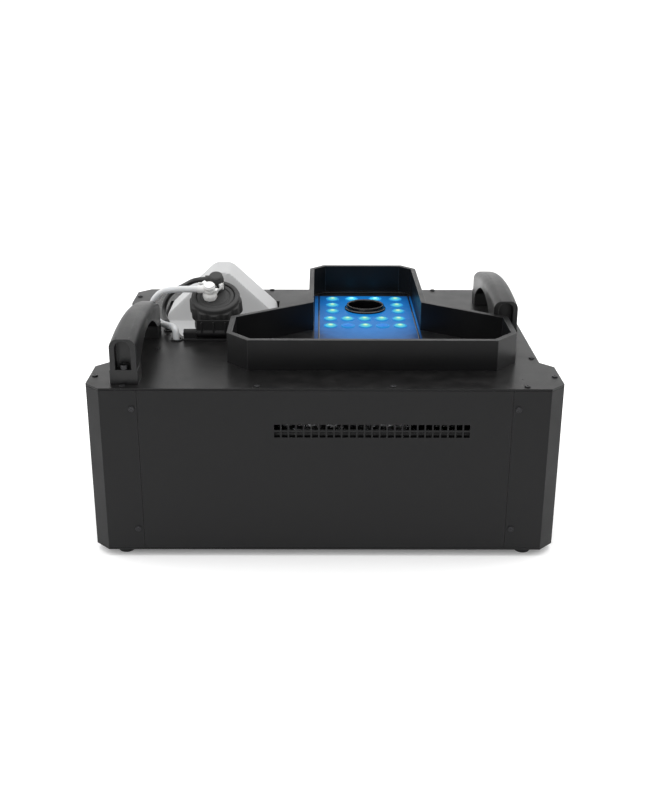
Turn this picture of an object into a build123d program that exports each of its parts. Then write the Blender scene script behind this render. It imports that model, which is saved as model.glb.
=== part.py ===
from build123d import *
import math
import os

# A vertical fog machine: a sheet-steel case that stands on four feet, with a fog nozzle and a ring of
# lamps in a shallow tray on top, a lift-out fluid bottle in a well behind the left handle, and the
# heater, pump, fan and electronics inside. Sizes are in millimetres, +Z is up and the front faces -Y.
# "behind" measures from the case's front face, and "above" from the top face of the top plate.

# Case
CASE_WIDTH = 510
CASE_DEPTH = 400
CASE_HEIGHT = 190
FOOT_HEIGHT = 8
FOOT_RADIUS = 10
FOOT_INSET_X = 33
FOOT_INSET_Y = 16
CORNER_CUT = 16
LUG_LENGTH = 72
SIDE_RECESS = 14
RECESS_RUN = 15
SEAM_INSET = 56
SHEET = 1.5
PLATE_SHEET = 2
PAN_SHEET = 2
SEAM = 0.5
FIT = 0.2
RIM_HEIGHT = 12
TOP_FLANGE = 14
JOGGLE = 14
REAR_INSET = 6.5

# Front vents
VENT_SIZE = 6.5
VENT_PITCH = 8.1
VENT_COLUMNS = 26
VENT_ROWS = 2
VENT_FIRST_X = -51.25
VENT_TOP_DROP = 43.9
VENT_ROW_PITCH = 8.5

# Screws
SCREW_SHANK = 1.5
SCREW_HOLE = 1.7
SCREW_HEAD = 3.3
SCREW_HEAD_HEIGHT = 1.4
SCREW_LENGTH = 8
CROSS_WIDTH = 0.9
EDGE_SCREWS = 7.5
OUTER_SCREWS = 41
MIDDLE_SCREWS = 72
REAR_SCREWS = (-72, 150)
LUG_SCREWS = 39
SIDE_SCREWS = 102
SIDE_SCREW_INSET = 6
SEAM_TOP_DROP = 23
SEAM_LOW_RISE = 26

# Tray wall on the top plate
TRAY_X = 52
TRAY_HEIGHT = 35
TRAY_WALL = 6
TRAY_FRONT = 58
TRAY_BACK = 399
TRAY_HALF = 161.5
TRAY_FRONT_HALF = 137
TRAY_NECK_HALF = 71.5
TRAY_BACK_HALF = 53
TRAY_FRONT_CORNER = 28
TRAY_SHOULDER = 150
TRAY_NECK = 214
TRAY_BACK_CORNER = 20

# Lamps
LAMP_PANEL_SHEET = 2
LAMP_PANEL_FRONT = 160
LAMP_PANEL_BACK = 358
LAMP_PANEL_GAP = 1
LAMP_LAP = 4
LAMP_ACROSS = 21.5
LAMP_FRONT_ROWS = (251, 221)
LAMP_FRONT_SHIFT = -2.5
LAMP_SIDE_ROWS = (313, 285)
LAMP_BACK_ROW = 343
LAMP_BACK_ACROSS = (-42, -16.5, 15, 42)
LENS_RADIUS = 8.5
LENS_DOME = 2
LENS_DEPTH = 4
LENS_FIT = 0.3
LAMP_BOARD = 1.6
SINK_BASE = 3
FIN_HEIGHT = 16
FIN_THICK = 1.5
FIN_COUNT = 13

# Nozzle and heater
NOZZLE_X = 53
NOZZLE_BEHIND = 298
NOZZLE_BORE = 21
NOZZLE_WALL = 3
NOZZLE_GAP = 3
NOZZLE_RISE = 6
JET_RADIUS = 10
JET_HEIGHT = 24
JET_BORE = 1.5
HEATER_LOW_X = -38
HEATER_HIGH_X = 84
HEATER_FRONT = 45
HEATER_BACK = 335
HEATER_FLOOR = 70
HEATER_HEIGHT = 68
LAGGING = 17
ROD_RADIUS = 6
ROD_FIT = 0.05

# Bottle, its well and its cap
BOTTLE_X = -132
WELL_HALF = 72.5
WELL_FRONT_HALF = 40
WELL_FRONT = 184
WELL_SHOULDER = 268
WELL_BACK = 340
WELL_SHEET = 1.2
WELL_FLOOR = 14
BOTTLE_GAP = 3
BOTTLE_WALL = 1.6
BOTTLE_TOP = 55
RIDGE_HALF = 11
HUMP_FRONT = 275
SADDLE_DROP = 7
SADDLE_FALL = 18
CAP_TILT = 25
CAP_BEHIND = 202
CAP_ABOVE = 45
NECK_RADIUS = 25
NECK_WALL = 3.5
NECK_LENGTH = 74
RING_FIT = 0.3
RING_HEIGHT = 24
RING_WALL = 3.9
LOBE_COUNT = 12
LOBE_RADIUS = 4.5
INSERT_STEP = 2.2
LOBE_RISE = 2.5
INSERT_LIP = 1.5
INSERT_FACE = 3.3

# Hose and float cable: points are across, behind and above
HOSE_RADIUS = 4
HOSE_POINTS = [
    (-152, 193.8, 55.5), (-164, 193.8, 55.5), (-179, 198, 54), (-194, 204, 51), (-206, 209, 41),
    (-211.5, 212, 28), (-208, 210, 15), (-198, 202, 9.5), (-187.5, 189, 11.5), (-180, 177, 13), (-176, 168.5, 7.5),
]
CABLE_RADIUS = 3.25
CABLE_POINTS = [
    (-144, 208.8, 63.6), (-156, 208.8, 63.6), (-171, 219, 53), (-187, 231, 43), (-197, 238, 30),
    (-201, 236, 16), (-196.5, 221, 10), (-190.5, 207, 8.5),
]
TAIL_DEPTH = 130
RUN_SHARE = 0.45
HOSE_GROMMET_BORE = 4.8
CABLE_GROMMET_BORE = 4.2
GROMMET_WALL = 1.6
GROMMET_LIP = 1.4
GROMMET_BRIM = 0.8

# Cap clip
CLIP_BEHIND = 172
CLIP_ABOVE = 8
CLIP_HALF = 20
CLIP_PIN = 2.5
PIN_FIT = 0.05
KNUCKLE = 5.5
CLIP_BASE_HALF = 36
CLIP_REACH = 16
CLIP_THICK = 3
SIDE_GAP = 0.4

# Handles
HANDLE_INSET = 42
HANDLE_LENGTH = 184
HANDLE_WIDTH = 28
HANDLE_BEND = 50
HANDLE_REAR_BEND = 40
HANDLE_CREST = 55
HANDLE_CREST_AT = 80
HANDLE_LEG = 25
GRIP_THICK = 18
COLLAR_HEIGHT = 16
COLLAR_STEP = 0.8
SCOOP_WIDTH = 17
SCOOP_DEPTH = 11
SCOOP_TOP = 2
LEFT_HANDLE_BEHIND = 12
RIGHT_HANDLE_BEHIND = 162
HANDLE_EDGE = 9
HANDLE_BOLT = 3
BOLT_FIT = 0.2
BOLT_HEAD = 5

# Fan
FAN_X = 150
FAN_SIZE = 80
FAN_DEPTH = 25
FAN_RIM = 2
FAN_BLADES = 7
FAN_HUB = 16
FAN_TIP_GAP = 1.5
GUARD_WIRE = 0.9
GUARD_PITCH = 10
GUARD_RINGS = 3
GUARD_PAD = 8
SHAFT_RADIUS = 1.5
SHAFT_FIT = 0.06

# Rear controls
FASCIA_X = 0
FASCIA_WIDTH = 124
FASCIA_HEIGHT = 46
FASCIA_DROP = 44
FASCIA_SHEET = 2
DISPLAY_WIDTH = 52
DISPLAY_HEIGHT = 22
BUTTON_RADIUS = 4.5
BUTTON_FIT = 0.4
BUTTON_PITCH = 15
BUTTON_STEM = 8
BUTTON_RISE = 1.8
DATA_IN_X = -40
DATA_OUT_X = 40
DATA_DROP = 125
DATA_BARREL = 11.5
LATCH_HALF = 4
LATCH_UP = 10.8
LATCH_HEIGHT = 3.2
LATCH_GAP = 0.4
INLET_X = -140
INLET_DROP = 125
SWITCH_X = -140
SWITCH_DROP = 70
SWITCH_TILT = 9

# Pump
PUMP_X = -118
PUMP_BEHIND = 85
PUMP_UP = 62
PISTON_RADIUS = 8
PISTON_FIT = 0.06
PISTON_LENGTH = 40

# Power supply and power board
POWER_X = 128
POWER_WIDTH = 98
SUPPLY_BEHIND = 40
SUPPLY_LENGTH = 150
SUPPLY_HEIGHT = 42
BOARD_BEHIND = 215
BOARD_LENGTH = 110
LOOM_INSET = 69
LOOM_RADIUS = 5

# Derived places
HALF_WIDTH = CASE_WIDTH / 2
HALF_DEPTH = CASE_DEPTH / 2
FRONT_SEAM_X = HALF_WIDTH - SEAM_INSET
PAN_TOP = FOOT_HEIGHT + PAN_SHEET
PANEL_LOW = PAN_TOP + SEAM
PLATE_TOP = FOOT_HEIGHT + CASE_HEIGHT
PLATE_LOW = PLATE_TOP - PLATE_SHEET
PANEL_HIGH = PLATE_LOW - SEAM
JOGGLE_LOW = PAN_TOP + RIM_HEIGHT + 4
JOGGLE_HIGH = PANEL_HIGH - SHEET - 12
REAR_INNER = HALF_DEPTH - REAR_INSET - SHEET
REAR_OUTER = HALF_DEPTH - REAR_INSET
FASCIA_Z = PLATE_TOP - FASCIA_DROP
DATA_Z = PLATE_TOP - DATA_DROP
INLET_Z = PLATE_TOP - INLET_DROP
SWITCH_Z = PLATE_TOP - SWITCH_DROP
FAN_Z = FOOT_HEIGHT + CASE_HEIGHT / 2
LAMP_TOP = PLATE_TOP + LAMP_PANEL_SHEET
BOARD_TOP = LAMP_TOP - LAMP_PANEL_SHEET - LENS_DEPTH
SINK_TOP = BOARD_TOP - LAMP_BOARD
HEATER_TOP = HEATER_FLOOR + HEATER_HEIGHT
PAN_SPAN = HALF_WIDTH - SIDE_RECESS
NECK_BORE = NECK_RADIUS - NECK_WALL
INSERT_RADIUS = NECK_RADIUS - INSERT_STEP
RING_RADIUS = NECK_RADIUS + RING_FIT + RING_WALL
FAN_BORE = FAN_SIZE / 2 - FAN_RIM
FAN_TIP = FAN_BORE - FAN_TIP_GAP


def behind(distance):
    return distance - HALF_DEPTH


def block(x0, x1, y0, y1, z0, z1):
    middle = Pos((x0 + x1) / 2, (y0 + y1) / 2, (z0 + z1) / 2)
    return middle * Box(x1 - x0, y1 - y0, z1 - z0)


def upright(x, y, z0, z1, radius):
    return Pos(x, y, (z0 + z1) / 2) * Cylinder(radius, z1 - z0)


def along_y(x, z, y0, y1, radius):
    return Pos(x, (y0 + y1) / 2, z) * Rot(90, 0, 0) * Cylinder(radius, y1 - y0)


def along_x(y, z, x0, x1, radius):
    return Pos((x0 + x1) / 2, y, z) * Rot(0, 90, 0) * Cylinder(radius, x1 - x0)


def outline_face(points):
    return make_face(Polyline(*points, close=True))


def grown(points, amount):
    return offset(outline_face(points), amount=amount, kind=Kind.INTERSECTION)


def raised(face, z0, z1):
    return extrude(Pos(0, 0, z0) * face, amount=z1 - z0)


def prism(points, z0, z1):
    return raised(outline_face(points), z0, z1)


def both_sides(values):
    return [side * value for value in values for side in (-1, 1)]


def save(name, shape):
    solids = shape if isinstance(shape, list) else [shape]
    export_step(Compound(children=solids) if len(solids) > 1 else solids[0], f"parts/{name}.step")


# ---------------------------------------------------------------- screws


def pan_screw():
    head = Pos(0, 0, SCREW_HEAD_HEIGHT / 2) * Cylinder(SCREW_HEAD, SCREW_HEAD_HEIGHT)
    head = fillet(head.edges().group_by(Axis.Z)[-1], SCREW_HEAD_HEIGHT * 0.6)
    cross = Box(SCREW_HEAD, CROSS_WIDTH, SCREW_HEAD_HEIGHT) + Box(CROSS_WIDTH, SCREW_HEAD, SCREW_HEAD_HEIGHT)
    head -= Pos(0, 0, SCREW_HEAD_HEIGHT) * cross
    return head + Pos(0, 0, -SCREW_LENGTH / 2) * Cylinder(SCREW_SHANK, SCREW_LENGTH)


def top_screw_places():
    outer = HALF_WIDTH - OUTER_SCREWS
    places = [(x, behind(EDGE_SCREWS)) for x in both_sides([outer, MIDDLE_SCREWS])]
    places += [(x, -behind(EDGE_SCREWS)) for x in both_sides([outer])]
    places += [(x, rear_screw_row()) for x in REAR_SCREWS]
    for edge, distance in ((HALF_WIDTH, LUG_SCREWS), (PAN_SPAN, SIDE_SCREWS)):
        x = edge - SIDE_SCREW_INSET
        for y in both_sides([behind(distance)]):
            places += [(-x, y), (x, y)]
    return places


def rear_screw_row():
    return (REAR_OUTER + HALF_DEPTH - SHEET) / 2


def seam_heights():
    return [PLATE_TOP - SEAM_TOP_DROP, FOOT_HEIGHT + SEAM_LOW_RISE]


def case_screws():
    screws = [Pos(x, y, PLATE_TOP) * pan_screw() for x, y in top_screw_places()]
    for x in both_sides([FRONT_SEAM_X + 6]):
        for z in seam_heights():
            screws.append(Pos(x, -HALF_DEPTH, z) * Rot(90, 0, 0) * pan_screw())
            screws.append(Pos(x, HALF_DEPTH, z) * Rot(-90, 0, 0) * pan_screw())
    for side in (-1, 1):
        for y in both_sides([side_seam() + 6]):
            for z in seam_heights():
                screws.append(Pos(side * PAN_SPAN, y, z) * Rot(0, side * 90, 0) * pan_screw())
    for x, y in foot_places():
        screws.append(Pos(x, y, PAN_TOP) * pan_screw())
    return screws


# ---------------------------------------------------------------- case


def case_outline():
    flat = HALF_WIDTH - CORNER_CUT
    lug = HALF_DEPTH - LUG_LENGTH
    quarter = [
        (flat, -HALF_DEPTH),
        (HALF_WIDTH, CORNER_CUT - HALF_DEPTH),
        (HALF_WIDTH, -lug),
        (PAN_SPAN, RECESS_RUN - lug),
    ]
    right = quarter + [(x, -y) for x, y in reversed(quarter)]
    return right + [(-x, y) for x, y in reversed(right)]


def side_seam():
    return HALF_DEPTH - LUG_LENGTH - RECESS_RUN - JOGGLE


def foot_places():
    spots = []
    for x in both_sides([HALF_WIDTH - FOOT_INSET_X]):
        for y in both_sides([HALF_DEPTH - FOOT_INSET_Y]):
            spots.append((x, y))
    return spots


def case_skin():
    wall = raised(outline_face(case_outline()) - grown(case_outline(), -SHEET), PANEL_LOW, PANEL_HIGH)
    ledge = outline_face(case_outline()) - grown(case_outline(), -TOP_FLANGE)
    skin = wall + raised(ledge, PANEL_HIGH - SHEET, PANEL_HIGH)
    for x, y in top_screw_places():
        skin -= upright(x, y, PANEL_HIGH - 2 * SHEET, PANEL_HIGH + SHEET, SCREW_HOLE)
    return skin


def base_pan():
    inset = SHEET + FIT
    rim = grown(case_outline(), -inset) - grown(case_outline(), -inset - PAN_SHEET)
    pan = prism(case_outline(), FOOT_HEIGHT, PAN_TOP) + raised(rim, PAN_TOP, PAN_TOP + RIM_HEIGHT)
    for x, y in foot_places():
        pan -= upright(x, y, FOOT_HEIGHT - 1, PAN_TOP + 1, SCREW_HOLE)
    for column in range(8):
        for y in both_sides([120]):
            x = (column - 3.5) * 13 + 160
            pan -= block(x - 3, x + 3, y - 22, y + 22, FOOT_HEIGHT - 1, PAN_TOP + 1)
    return pan


def seam_flange(x0, x1, y0, y1, holes):
    flange = block(x0, x1, y0, y1, JOGGLE_LOW, JOGGLE_HIGH)
    for hole in holes:
        flange -= hole
    return flange


def vents():
    holes = []
    for column in range(VENT_COLUMNS):
        x = VENT_FIRST_X + column * VENT_PITCH
        for row in range(VENT_ROWS):
            z = PLATE_TOP - VENT_TOP_DROP - row * VENT_ROW_PITCH
            holes.append(Pos(x, -HALF_DEPTH, z) * Box(VENT_SIZE, 4 * SHEET, VENT_SIZE))
    return holes


def end_screw_holes(y):
    holes = []
    for x in both_sides([FRONT_SEAM_X + 6]):
        for z in seam_heights():
            holes.append(along_y(x, z, y - 6, y + 6, SCREW_HOLE))
    return holes


def side_screw_holes(x):
    holes = []
    for y in both_sides([side_seam() + 6]):
        for z in seam_heights():
            holes.append(along_x(y, z, x - 6, x + 6, SCREW_HOLE))
    return holes


def front_panel(skin):
    edge = FRONT_SEAM_X - FIT
    panel = skin & block(-edge, edge, -HALF_DEPTH - 1, behind(TOP_FLANGE + 1), PANEL_LOW, PANEL_HIGH)
    inner = behind(SHEET)
    for side in (-1, 1):
        x0, x1 = sorted((side * (edge - 6), side * (edge + JOGGLE)))
        panel += seam_flange(x0, x1, inner, inner + SHEET, end_screw_holes(-HALF_DEPTH))
    for hole in vents():
        panel -= hole
    return panel


def corner_post(skin, side_x, side_y):
    x0, x1 = sorted((side_x * (FRONT_SEAM_X + FIT), side_x * (HALF_WIDTH + 1)))
    y0, y1 = sorted((side_y * (side_seam() + FIT), side_y * (HALF_DEPTH + 1)))
    post = skin & block(x0, x1, y0, y1, PANEL_LOW, PANEL_HIGH)
    for hole in end_screw_holes(side_y * HALF_DEPTH) + side_screw_holes(side_x * PAN_SPAN):
        post -= hole
    return post


def side_panel(skin, side):
    x0, x1 = sorted((side * (PAN_SPAN - TOP_FLANGE - 1), side * (PAN_SPAN + 1)))
    seam = side_seam() - FIT
    panel = skin & block(x0, x1, -seam, seam, PANEL_LOW, PANEL_HIGH)
    inner = PAN_SPAN - SHEET
    f0, f1 = sorted((side * inner, side * (inner - SHEET)))
    for end in (-1, 1):
        y0, y1 = sorted((end * (seam - 6), end * (seam + JOGGLE - 2)))
        panel += seam_flange(f0, f1, y0, y1, side_screw_holes(side * PAN_SPAN))
    return panel


def rear_panel():
    edge = FRONT_SEAM_X - FIT
    panel = block(-edge, edge, REAR_INNER, REAR_OUTER, PANEL_LOW, PANEL_HIGH)
    outer = HALF_DEPTH - SHEET
    ledge = block(-edge, edge, REAR_OUTER, outer, PANEL_HIGH - SHEET, PANEL_HIGH)
    for x, y in top_screw_places():
        ledge -= upright(x, y, PANEL_HIGH - 2 * SHEET, PANEL_HIGH + SHEET, SCREW_HOLE)
    panel += ledge
    for side in (-1, 1):
        x0, x1 = sorted((side * (edge - SHEET), side * edge))
        panel += block(x0, x1, REAR_OUTER, outer, JOGGLE_LOW, JOGGLE_HIGH)
        x0, x1 = sorted((side * (edge - SHEET), side * (edge + JOGGLE)))
        panel += seam_flange(x0, x1, outer - SHEET, outer, end_screw_holes(HALF_DEPTH))
    return panel - rear_cutouts()


def rear_cutouts():
    y0 = REAR_INNER - 1
    y1 = REAR_OUTER + 1
    cuts = along_y(FAN_X, FAN_Z, y0, y1, FAN_BORE)
    for x in button_places():
        cuts += along_y(x, FASCIA_Z, y0, y1, BUTTON_RADIUS + BUTTON_FIT)
    cuts += block(*display_span(), y0, y1, *display_rise())
    for x in (DATA_IN_X, DATA_OUT_X):
        cuts += along_y(x, DATA_Z, y0, y1, DATA_BARREL + FIT)
    cuts += block(*latch_span(LATCH_GAP), y0, y1, *latch_rise(LATCH_GAP))
    cuts += block(INLET_X - 20 - FIT, INLET_X + 20 + FIT, y0, y1, INLET_Z - 14 - FIT, INLET_Z + 14 + FIT)
    cuts += block(SWITCH_X - 10 - FIT, SWITCH_X + 10 + FIT, y0, y1, SWITCH_Z - 14 - FIT, SWITCH_Z + 14 + FIT)
    return cuts


# ---------------------------------------------------------------- top


def well_outline():
    half = [
        (WELL_FRONT_HALF, behind(WELL_FRONT)),
        (WELL_HALF, behind(WELL_SHOULDER)),
        (WELL_HALF, behind(WELL_BACK)),
    ]
    right = [(BOTTLE_X + x, y) for x, y in half]
    left = [(BOTTLE_X - x, y) for x, y in reversed(half)]
    return right + left


def tray_outline():
    half = [
        (TRAY_FRONT_HALF, behind(TRAY_FRONT)),
        (TRAY_HALF, behind(TRAY_FRONT + TRAY_FRONT_CORNER)),
        (TRAY_HALF, behind(TRAY_SHOULDER)),
        (TRAY_NECK_HALF, behind(TRAY_NECK)),
        (TRAY_NECK_HALF, behind(TRAY_BACK - TRAY_BACK_CORNER)),
        (TRAY_BACK_HALF, behind(TRAY_BACK)),
    ]
    right = [(TRAY_X + x, y) for x, y in half]
    left = [(TRAY_X - x, y) for x, y in reversed(half)]
    return right + left


def lamp_edges():
    inner = TRAY_NECK_HALF - TRAY_WALL - LAMP_PANEL_GAP
    return TRAY_X - inner, TRAY_X + inner


def lamp_places():
    spots = [(across, LAMP_BACK_ROW) for across in LAMP_BACK_ACROSS]
    for distance in LAMP_SIDE_ROWS:
        spots += [(LAMP_BACK_ACROSS[0], distance), (LAMP_BACK_ACROSS[-1], distance)]
    for distance, columns in zip(LAMP_FRONT_ROWS, ((-2, -1, 0, 1, 2), (-2, 0, 2))):
        spots += [(LAMP_FRONT_SHIFT + LAMP_ACROSS * column, distance) for column in columns]
    return [(NOZZLE_X + across, behind(distance)) for across, distance in spots]


def dark_lamp_places():
    middle = NOZZLE_X + LAMP_FRONT_SHIFT
    return [(middle + across, behind(LAMP_FRONT_ROWS[1])) for across in both_sides([LAMP_ACROSS])]


def lens(x, y):
    barrel = upright(x, y, BOARD_TOP, LAMP_TOP, LENS_RADIUS)
    ball = (LENS_RADIUS**2 + LENS_DOME**2) / (2 * LENS_DOME)
    dome = Pos(x, y, LAMP_TOP + LENS_DOME - ball) * Sphere(ball)
    return barrel + (dome & upright(x, y, LAMP_TOP, LAMP_TOP + LENS_DOME, LENS_RADIUS))


def lamp_panel():
    x0, x1 = lamp_edges()
    panel = block(x0, x1, behind(LAMP_PANEL_FRONT), behind(LAMP_PANEL_BACK), PLATE_TOP, LAMP_TOP)
    for x, y in lamp_places() + dark_lamp_places():
        panel -= upright(x, y, PLATE_LOW, LAMP_TOP + 1, LENS_RADIUS + LENS_FIT)
    return panel - nozzle_passage(PLATE_LOW, LAMP_TOP + 1)


def nozzle_passage(z0, z1):
    return upright(NOZZLE_X, behind(NOZZLE_BEHIND), z0, z1, NOZZLE_BORE + NOZZLE_WALL + NOZZLE_GAP)


def lamp_well(margin):
    x0, x1 = lamp_edges()
    lap = LAMP_LAP + margin
    return x0 + lap, x1 - lap, behind(LAMP_PANEL_FRONT + lap), behind(LAMP_PANEL_BACK - lap)


def lamp_board():
    board = block(*lamp_well(1), SINK_TOP, BOARD_TOP)
    return board - nozzle_passage(SINK_TOP - 1, BOARD_TOP + 1)


def lamp_heat_sink():
    x0, x1, y0, y1 = lamp_well(1)
    low = SINK_TOP - SINK_BASE
    sink = block(x0, x1, y0, y1, low, SINK_TOP)
    pitch = (x1 - x0 - FIN_THICK) / (FIN_COUNT - 1)
    for fin in range(FIN_COUNT):
        left = x0 + fin * pitch
        sink += block(left, left + FIN_THICK, y0, y1, low - FIN_HEIGHT, low)
    return sink - nozzle_passage(low - FIN_HEIGHT - 1, SINK_TOP + 1)


def top_plate():
    plate = prism(case_outline(), PLATE_LOW, PLATE_TOP)
    plate -= prism(well_outline(), PLATE_LOW - 1, PLATE_TOP + 1)
    plate -= block(*lamp_well(0), PLATE_LOW - 1, PLATE_TOP + 1)
    for x, y in top_screw_places():
        plate -= upright(x, y, PLATE_LOW - 1, PLATE_TOP + 1, SCREW_HOLE)
    for x, y, radius in grommet_places():
        plate -= upright(x, y, PLATE_LOW - 1, PLATE_TOP + 1, radius + GROMMET_WALL)
    for x, y in handle_bolt_places():
        plate -= upright(x, y, PLATE_LOW - 1, PLATE_TOP + 1, HANDLE_BOLT + BOLT_FIT)
    return plate


def tray_wall():
    wall = outline_face(tray_outline()) - grown(tray_outline(), -TRAY_WALL)
    return raised(wall, PLATE_TOP, PLATE_TOP + TRAY_HEIGHT)


def grommet_places():
    hose = HOSE_POINTS[-1]
    cable = CABLE_POINTS[-1]
    return [
        (hose[0], behind(hose[1]), HOSE_GROMMET_BORE),
        (cable[0], behind(cable[1]), CABLE_GROMMET_BORE),
    ]


def grommet(x, y, bore):
    outer = bore + GROMMET_WALL
    ring = upright(x, y, PLATE_LOW, PLATE_TOP, outer)
    ring += upright(x, y, PLATE_TOP, PLATE_TOP + GROMMET_LIP, outer + GROMMET_BRIM)
    ring += upright(x, y, PLATE_LOW - GROMMET_LIP, PLATE_LOW, outer + GROMMET_BRIM)
    return ring - upright(x, y, PLATE_LOW - 4, PLATE_TOP + 4, bore)


# ---------------------------------------------------------------- nozzle and heater


def nozzle_collar():
    y = behind(NOZZLE_BEHIND)
    top = LAMP_TOP + NOZZLE_RISE
    collar = upright(NOZZLE_X, y, HEATER_TOP, top, NOZZLE_BORE + NOZZLE_WALL)
    return collar - upright(NOZZLE_X, y, HEATER_TOP - 1, top + 1, NOZZLE_BORE)


def fog_jet():
    y = behind(NOZZLE_BEHIND)
    jet = upright(NOZZLE_X, y, HEATER_TOP, HEATER_TOP + JET_HEIGHT * 0.6, JET_RADIUS)
    tip = Pos(NOZZLE_X, y, HEATER_TOP + JET_HEIGHT * 0.8) * Cone(JET_RADIUS, JET_RADIUS / 2, JET_HEIGHT * 0.4)
    return jet + tip - upright(NOZZLE_X, y, HEATER_TOP - 1, HEATER_TOP + JET_HEIGHT + 1, JET_BORE)


def rod_places():
    middle = (HEATER_LOW_X + HEATER_HIGH_X) / 2
    return [middle - 34, middle + 34]


def heater_block():
    front = behind(HEATER_FRONT)
    back = behind(HEATER_BACK)
    body = block(HEATER_LOW_X, HEATER_HIGH_X, front, back, HEATER_FLOOR, HEATER_TOP)
    middle = HEATER_FLOOR + HEATER_HEIGHT / 2
    for x in rod_places():
        body -= along_y(x, middle, front - 1, back + 1, ROD_RADIUS + ROD_FIT)
    return body


def heater_rods():
    middle = HEATER_FLOOR + HEATER_HEIGHT / 2
    return [along_y(x, middle, behind(HEATER_FRONT), behind(HEATER_BACK), ROD_RADIUS) for x in rod_places()]


def lagging_span():
    low = HEATER_LOW_X - LAGGING
    high = HEATER_HIGH_X + LAGGING
    return low, high, behind(HEATER_FRONT - LAGGING), behind(HEATER_BACK + LAGGING)


def cutout_places():
    return [((HEATER_LOW_X + HEATER_HIGH_X) / 2, behind(HEATER_FRONT + step)) for step in (50, 100)]


def heater_insulation():
    x0, x1, y0, y1 = lagging_span()
    wrap = block(x0, x1, y0, y1, HEATER_FLOOR - LAGGING, HEATER_TOP + LAGGING)
    wrap = fillet(wrap.edges().filter_by(Axis.Y), LAGGING * 0.7)
    hollow = (HEATER_LOW_X, HEATER_HIGH_X, behind(HEATER_FRONT), behind(HEATER_BACK))
    wrap -= block(*hollow, HEATER_FLOOR, HEATER_TOP)
    for x, y in cutout_places():
        wrap -= upright(x, y, HEATER_TOP - 1, HEATER_TOP + 8, 10)
    passage = NOZZLE_BORE + NOZZLE_WALL + FIT
    return wrap - upright(NOZZLE_X, behind(NOZZLE_BEHIND), HEATER_TOP - 1, HEATER_TOP + LAGGING + 1, passage)


def thermal_cutouts():
    return [upright(x, y, HEATER_TOP, HEATER_TOP + 6, 8) for x, y in cutout_places()]


def heater_brackets():
    x0, x1, y0, y1 = lagging_span()
    top = HEATER_FLOOR - LAGGING
    brackets = []
    for y in (y0 + 50, y1 - 70):
        inner = LAGGING
        shelf = block(x0 + inner, x1 - inner, y, y + 20, top - PAN_SHEET, top)
        for x in (x0 + inner, x1 - inner - PAN_SHEET):
            shelf += block(x, x + PAN_SHEET, y, y + 20, PAN_TOP, top - PAN_SHEET)
        shelf += block(x0 + inner, x0 + inner + 14, y, y + 20, PAN_TOP, PAN_TOP + PAN_SHEET)
        shelf += block(x1 - inner - 14, x1 - inner, y, y + 20, PAN_TOP, PAN_TOP + PAN_SHEET)
        brackets.append(shelf)
    return brackets


# ---------------------------------------------------------------- bottle


def bottle_well():
    outer = grown(well_outline(), WELL_SHEET)
    well = raised(outer, WELL_FLOOR - WELL_SHEET, PLATE_LOW)
    return well - prism(well_outline(), WELL_FLOOR, PLATE_LOW + 1)


def bottle_form(inset):
    plan = raised(grown(well_outline(), -BOTTLE_GAP - inset), WELL_FLOOR + inset, PLATE_TOP + BOTTLE_TOP + 1)
    low = WELL_FLOOR + inset
    front = behind(WELL_FRONT)
    back = behind(WELL_BACK)
    hump = behind(HUMP_FRONT) + inset
    saddle = PLATE_TOP - SADDLE_DROP - inset
    side = [(front, low), (back, low), (back, saddle), (hump, saddle), (front, saddle - SADDLE_FALL)]
    lower = Plane.YZ * outline_face(side)
    body = extrude(lower, amount=WELL_HALF, both=True)
    body = Pos(BOTTLE_X, 0, 0) * body
    wide = WELL_HALF - BOTTLE_GAP - inset
    ridge = RIDGE_HALF - inset / 2
    top = PLATE_TOP + BOTTLE_TOP - inset
    eave = PLATE_TOP - inset
    gable = [(-wide, low), (wide, low), (wide, eave), (ridge, top), (-ridge, top), (-wide, eave)]
    roof = outline_face([(BOTTLE_X + x, z) for x, z in gable])
    house = extrude(Pos(0, hump, 0) * Rot(90, 0, 0) * roof, amount=hump - back)
    return (body + house) & plan


def cap_plane():
    lean = math.radians(CAP_TILT)
    origin = (BOTTLE_X, behind(CAP_BEHIND), PLATE_TOP + CAP_ABOVE)
    return Plane(origin=origin, x_dir=(1, 0, 0), z_dir=(0, -math.sin(lean), math.cos(lean)))


def post(z0, z1, radius, u=0, v=0):
    return cap_plane() * (Pos(u, v, (z0 + z1) / 2) * Cylinder(radius, z1 - z0))


def neck_top():
    return -INSERT_FACE - INSERT_LIP


def bottle():
    shell = bottle_form(0) + post(neck_top() - NECK_LENGTH, neck_top(), NECK_RADIUS)
    shell -= bottle_form(BOTTLE_WALL)
    return shell - post(neck_top() - NECK_LENGTH - 2, neck_top() + 1, NECK_BORE)


def cap_insert():
    plug = post(neck_top(), -INSERT_FACE, NECK_RADIUS) + post(-INSERT_FACE, 0, INSERT_RADIUS)
    return plug + post(neck_top() - 6, neck_top(), NECK_BORE - FIT)


def cap_ring():
    ring = Pos(0, 0, -RING_HEIGHT / 2) * Cylinder(RING_RADIUS, RING_HEIGHT)
    skirt = RING_HEIGHT - 5
    for lobe in range(LOBE_COUNT):
        bump = Pos(RING_RADIUS - LOBE_RADIUS + LOBE_RISE, 0, -RING_HEIGHT + skirt / 2) * Cylinder(LOBE_RADIUS, skirt)
        ring += Rot(0, 0, lobe * 360 / LOBE_COUNT) * bump
    bore = RING_HEIGHT - INSERT_FACE + RING_FIT
    ring -= Pos(0, 0, -RING_HEIGHT + bore / 2) * Cylinder(NECK_RADIUS + RING_FIT, bore)
    ring -= Cylinder(INSERT_RADIUS + RING_FIT, 3 * INSERT_FACE)
    return cap_plane() * ring


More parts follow.
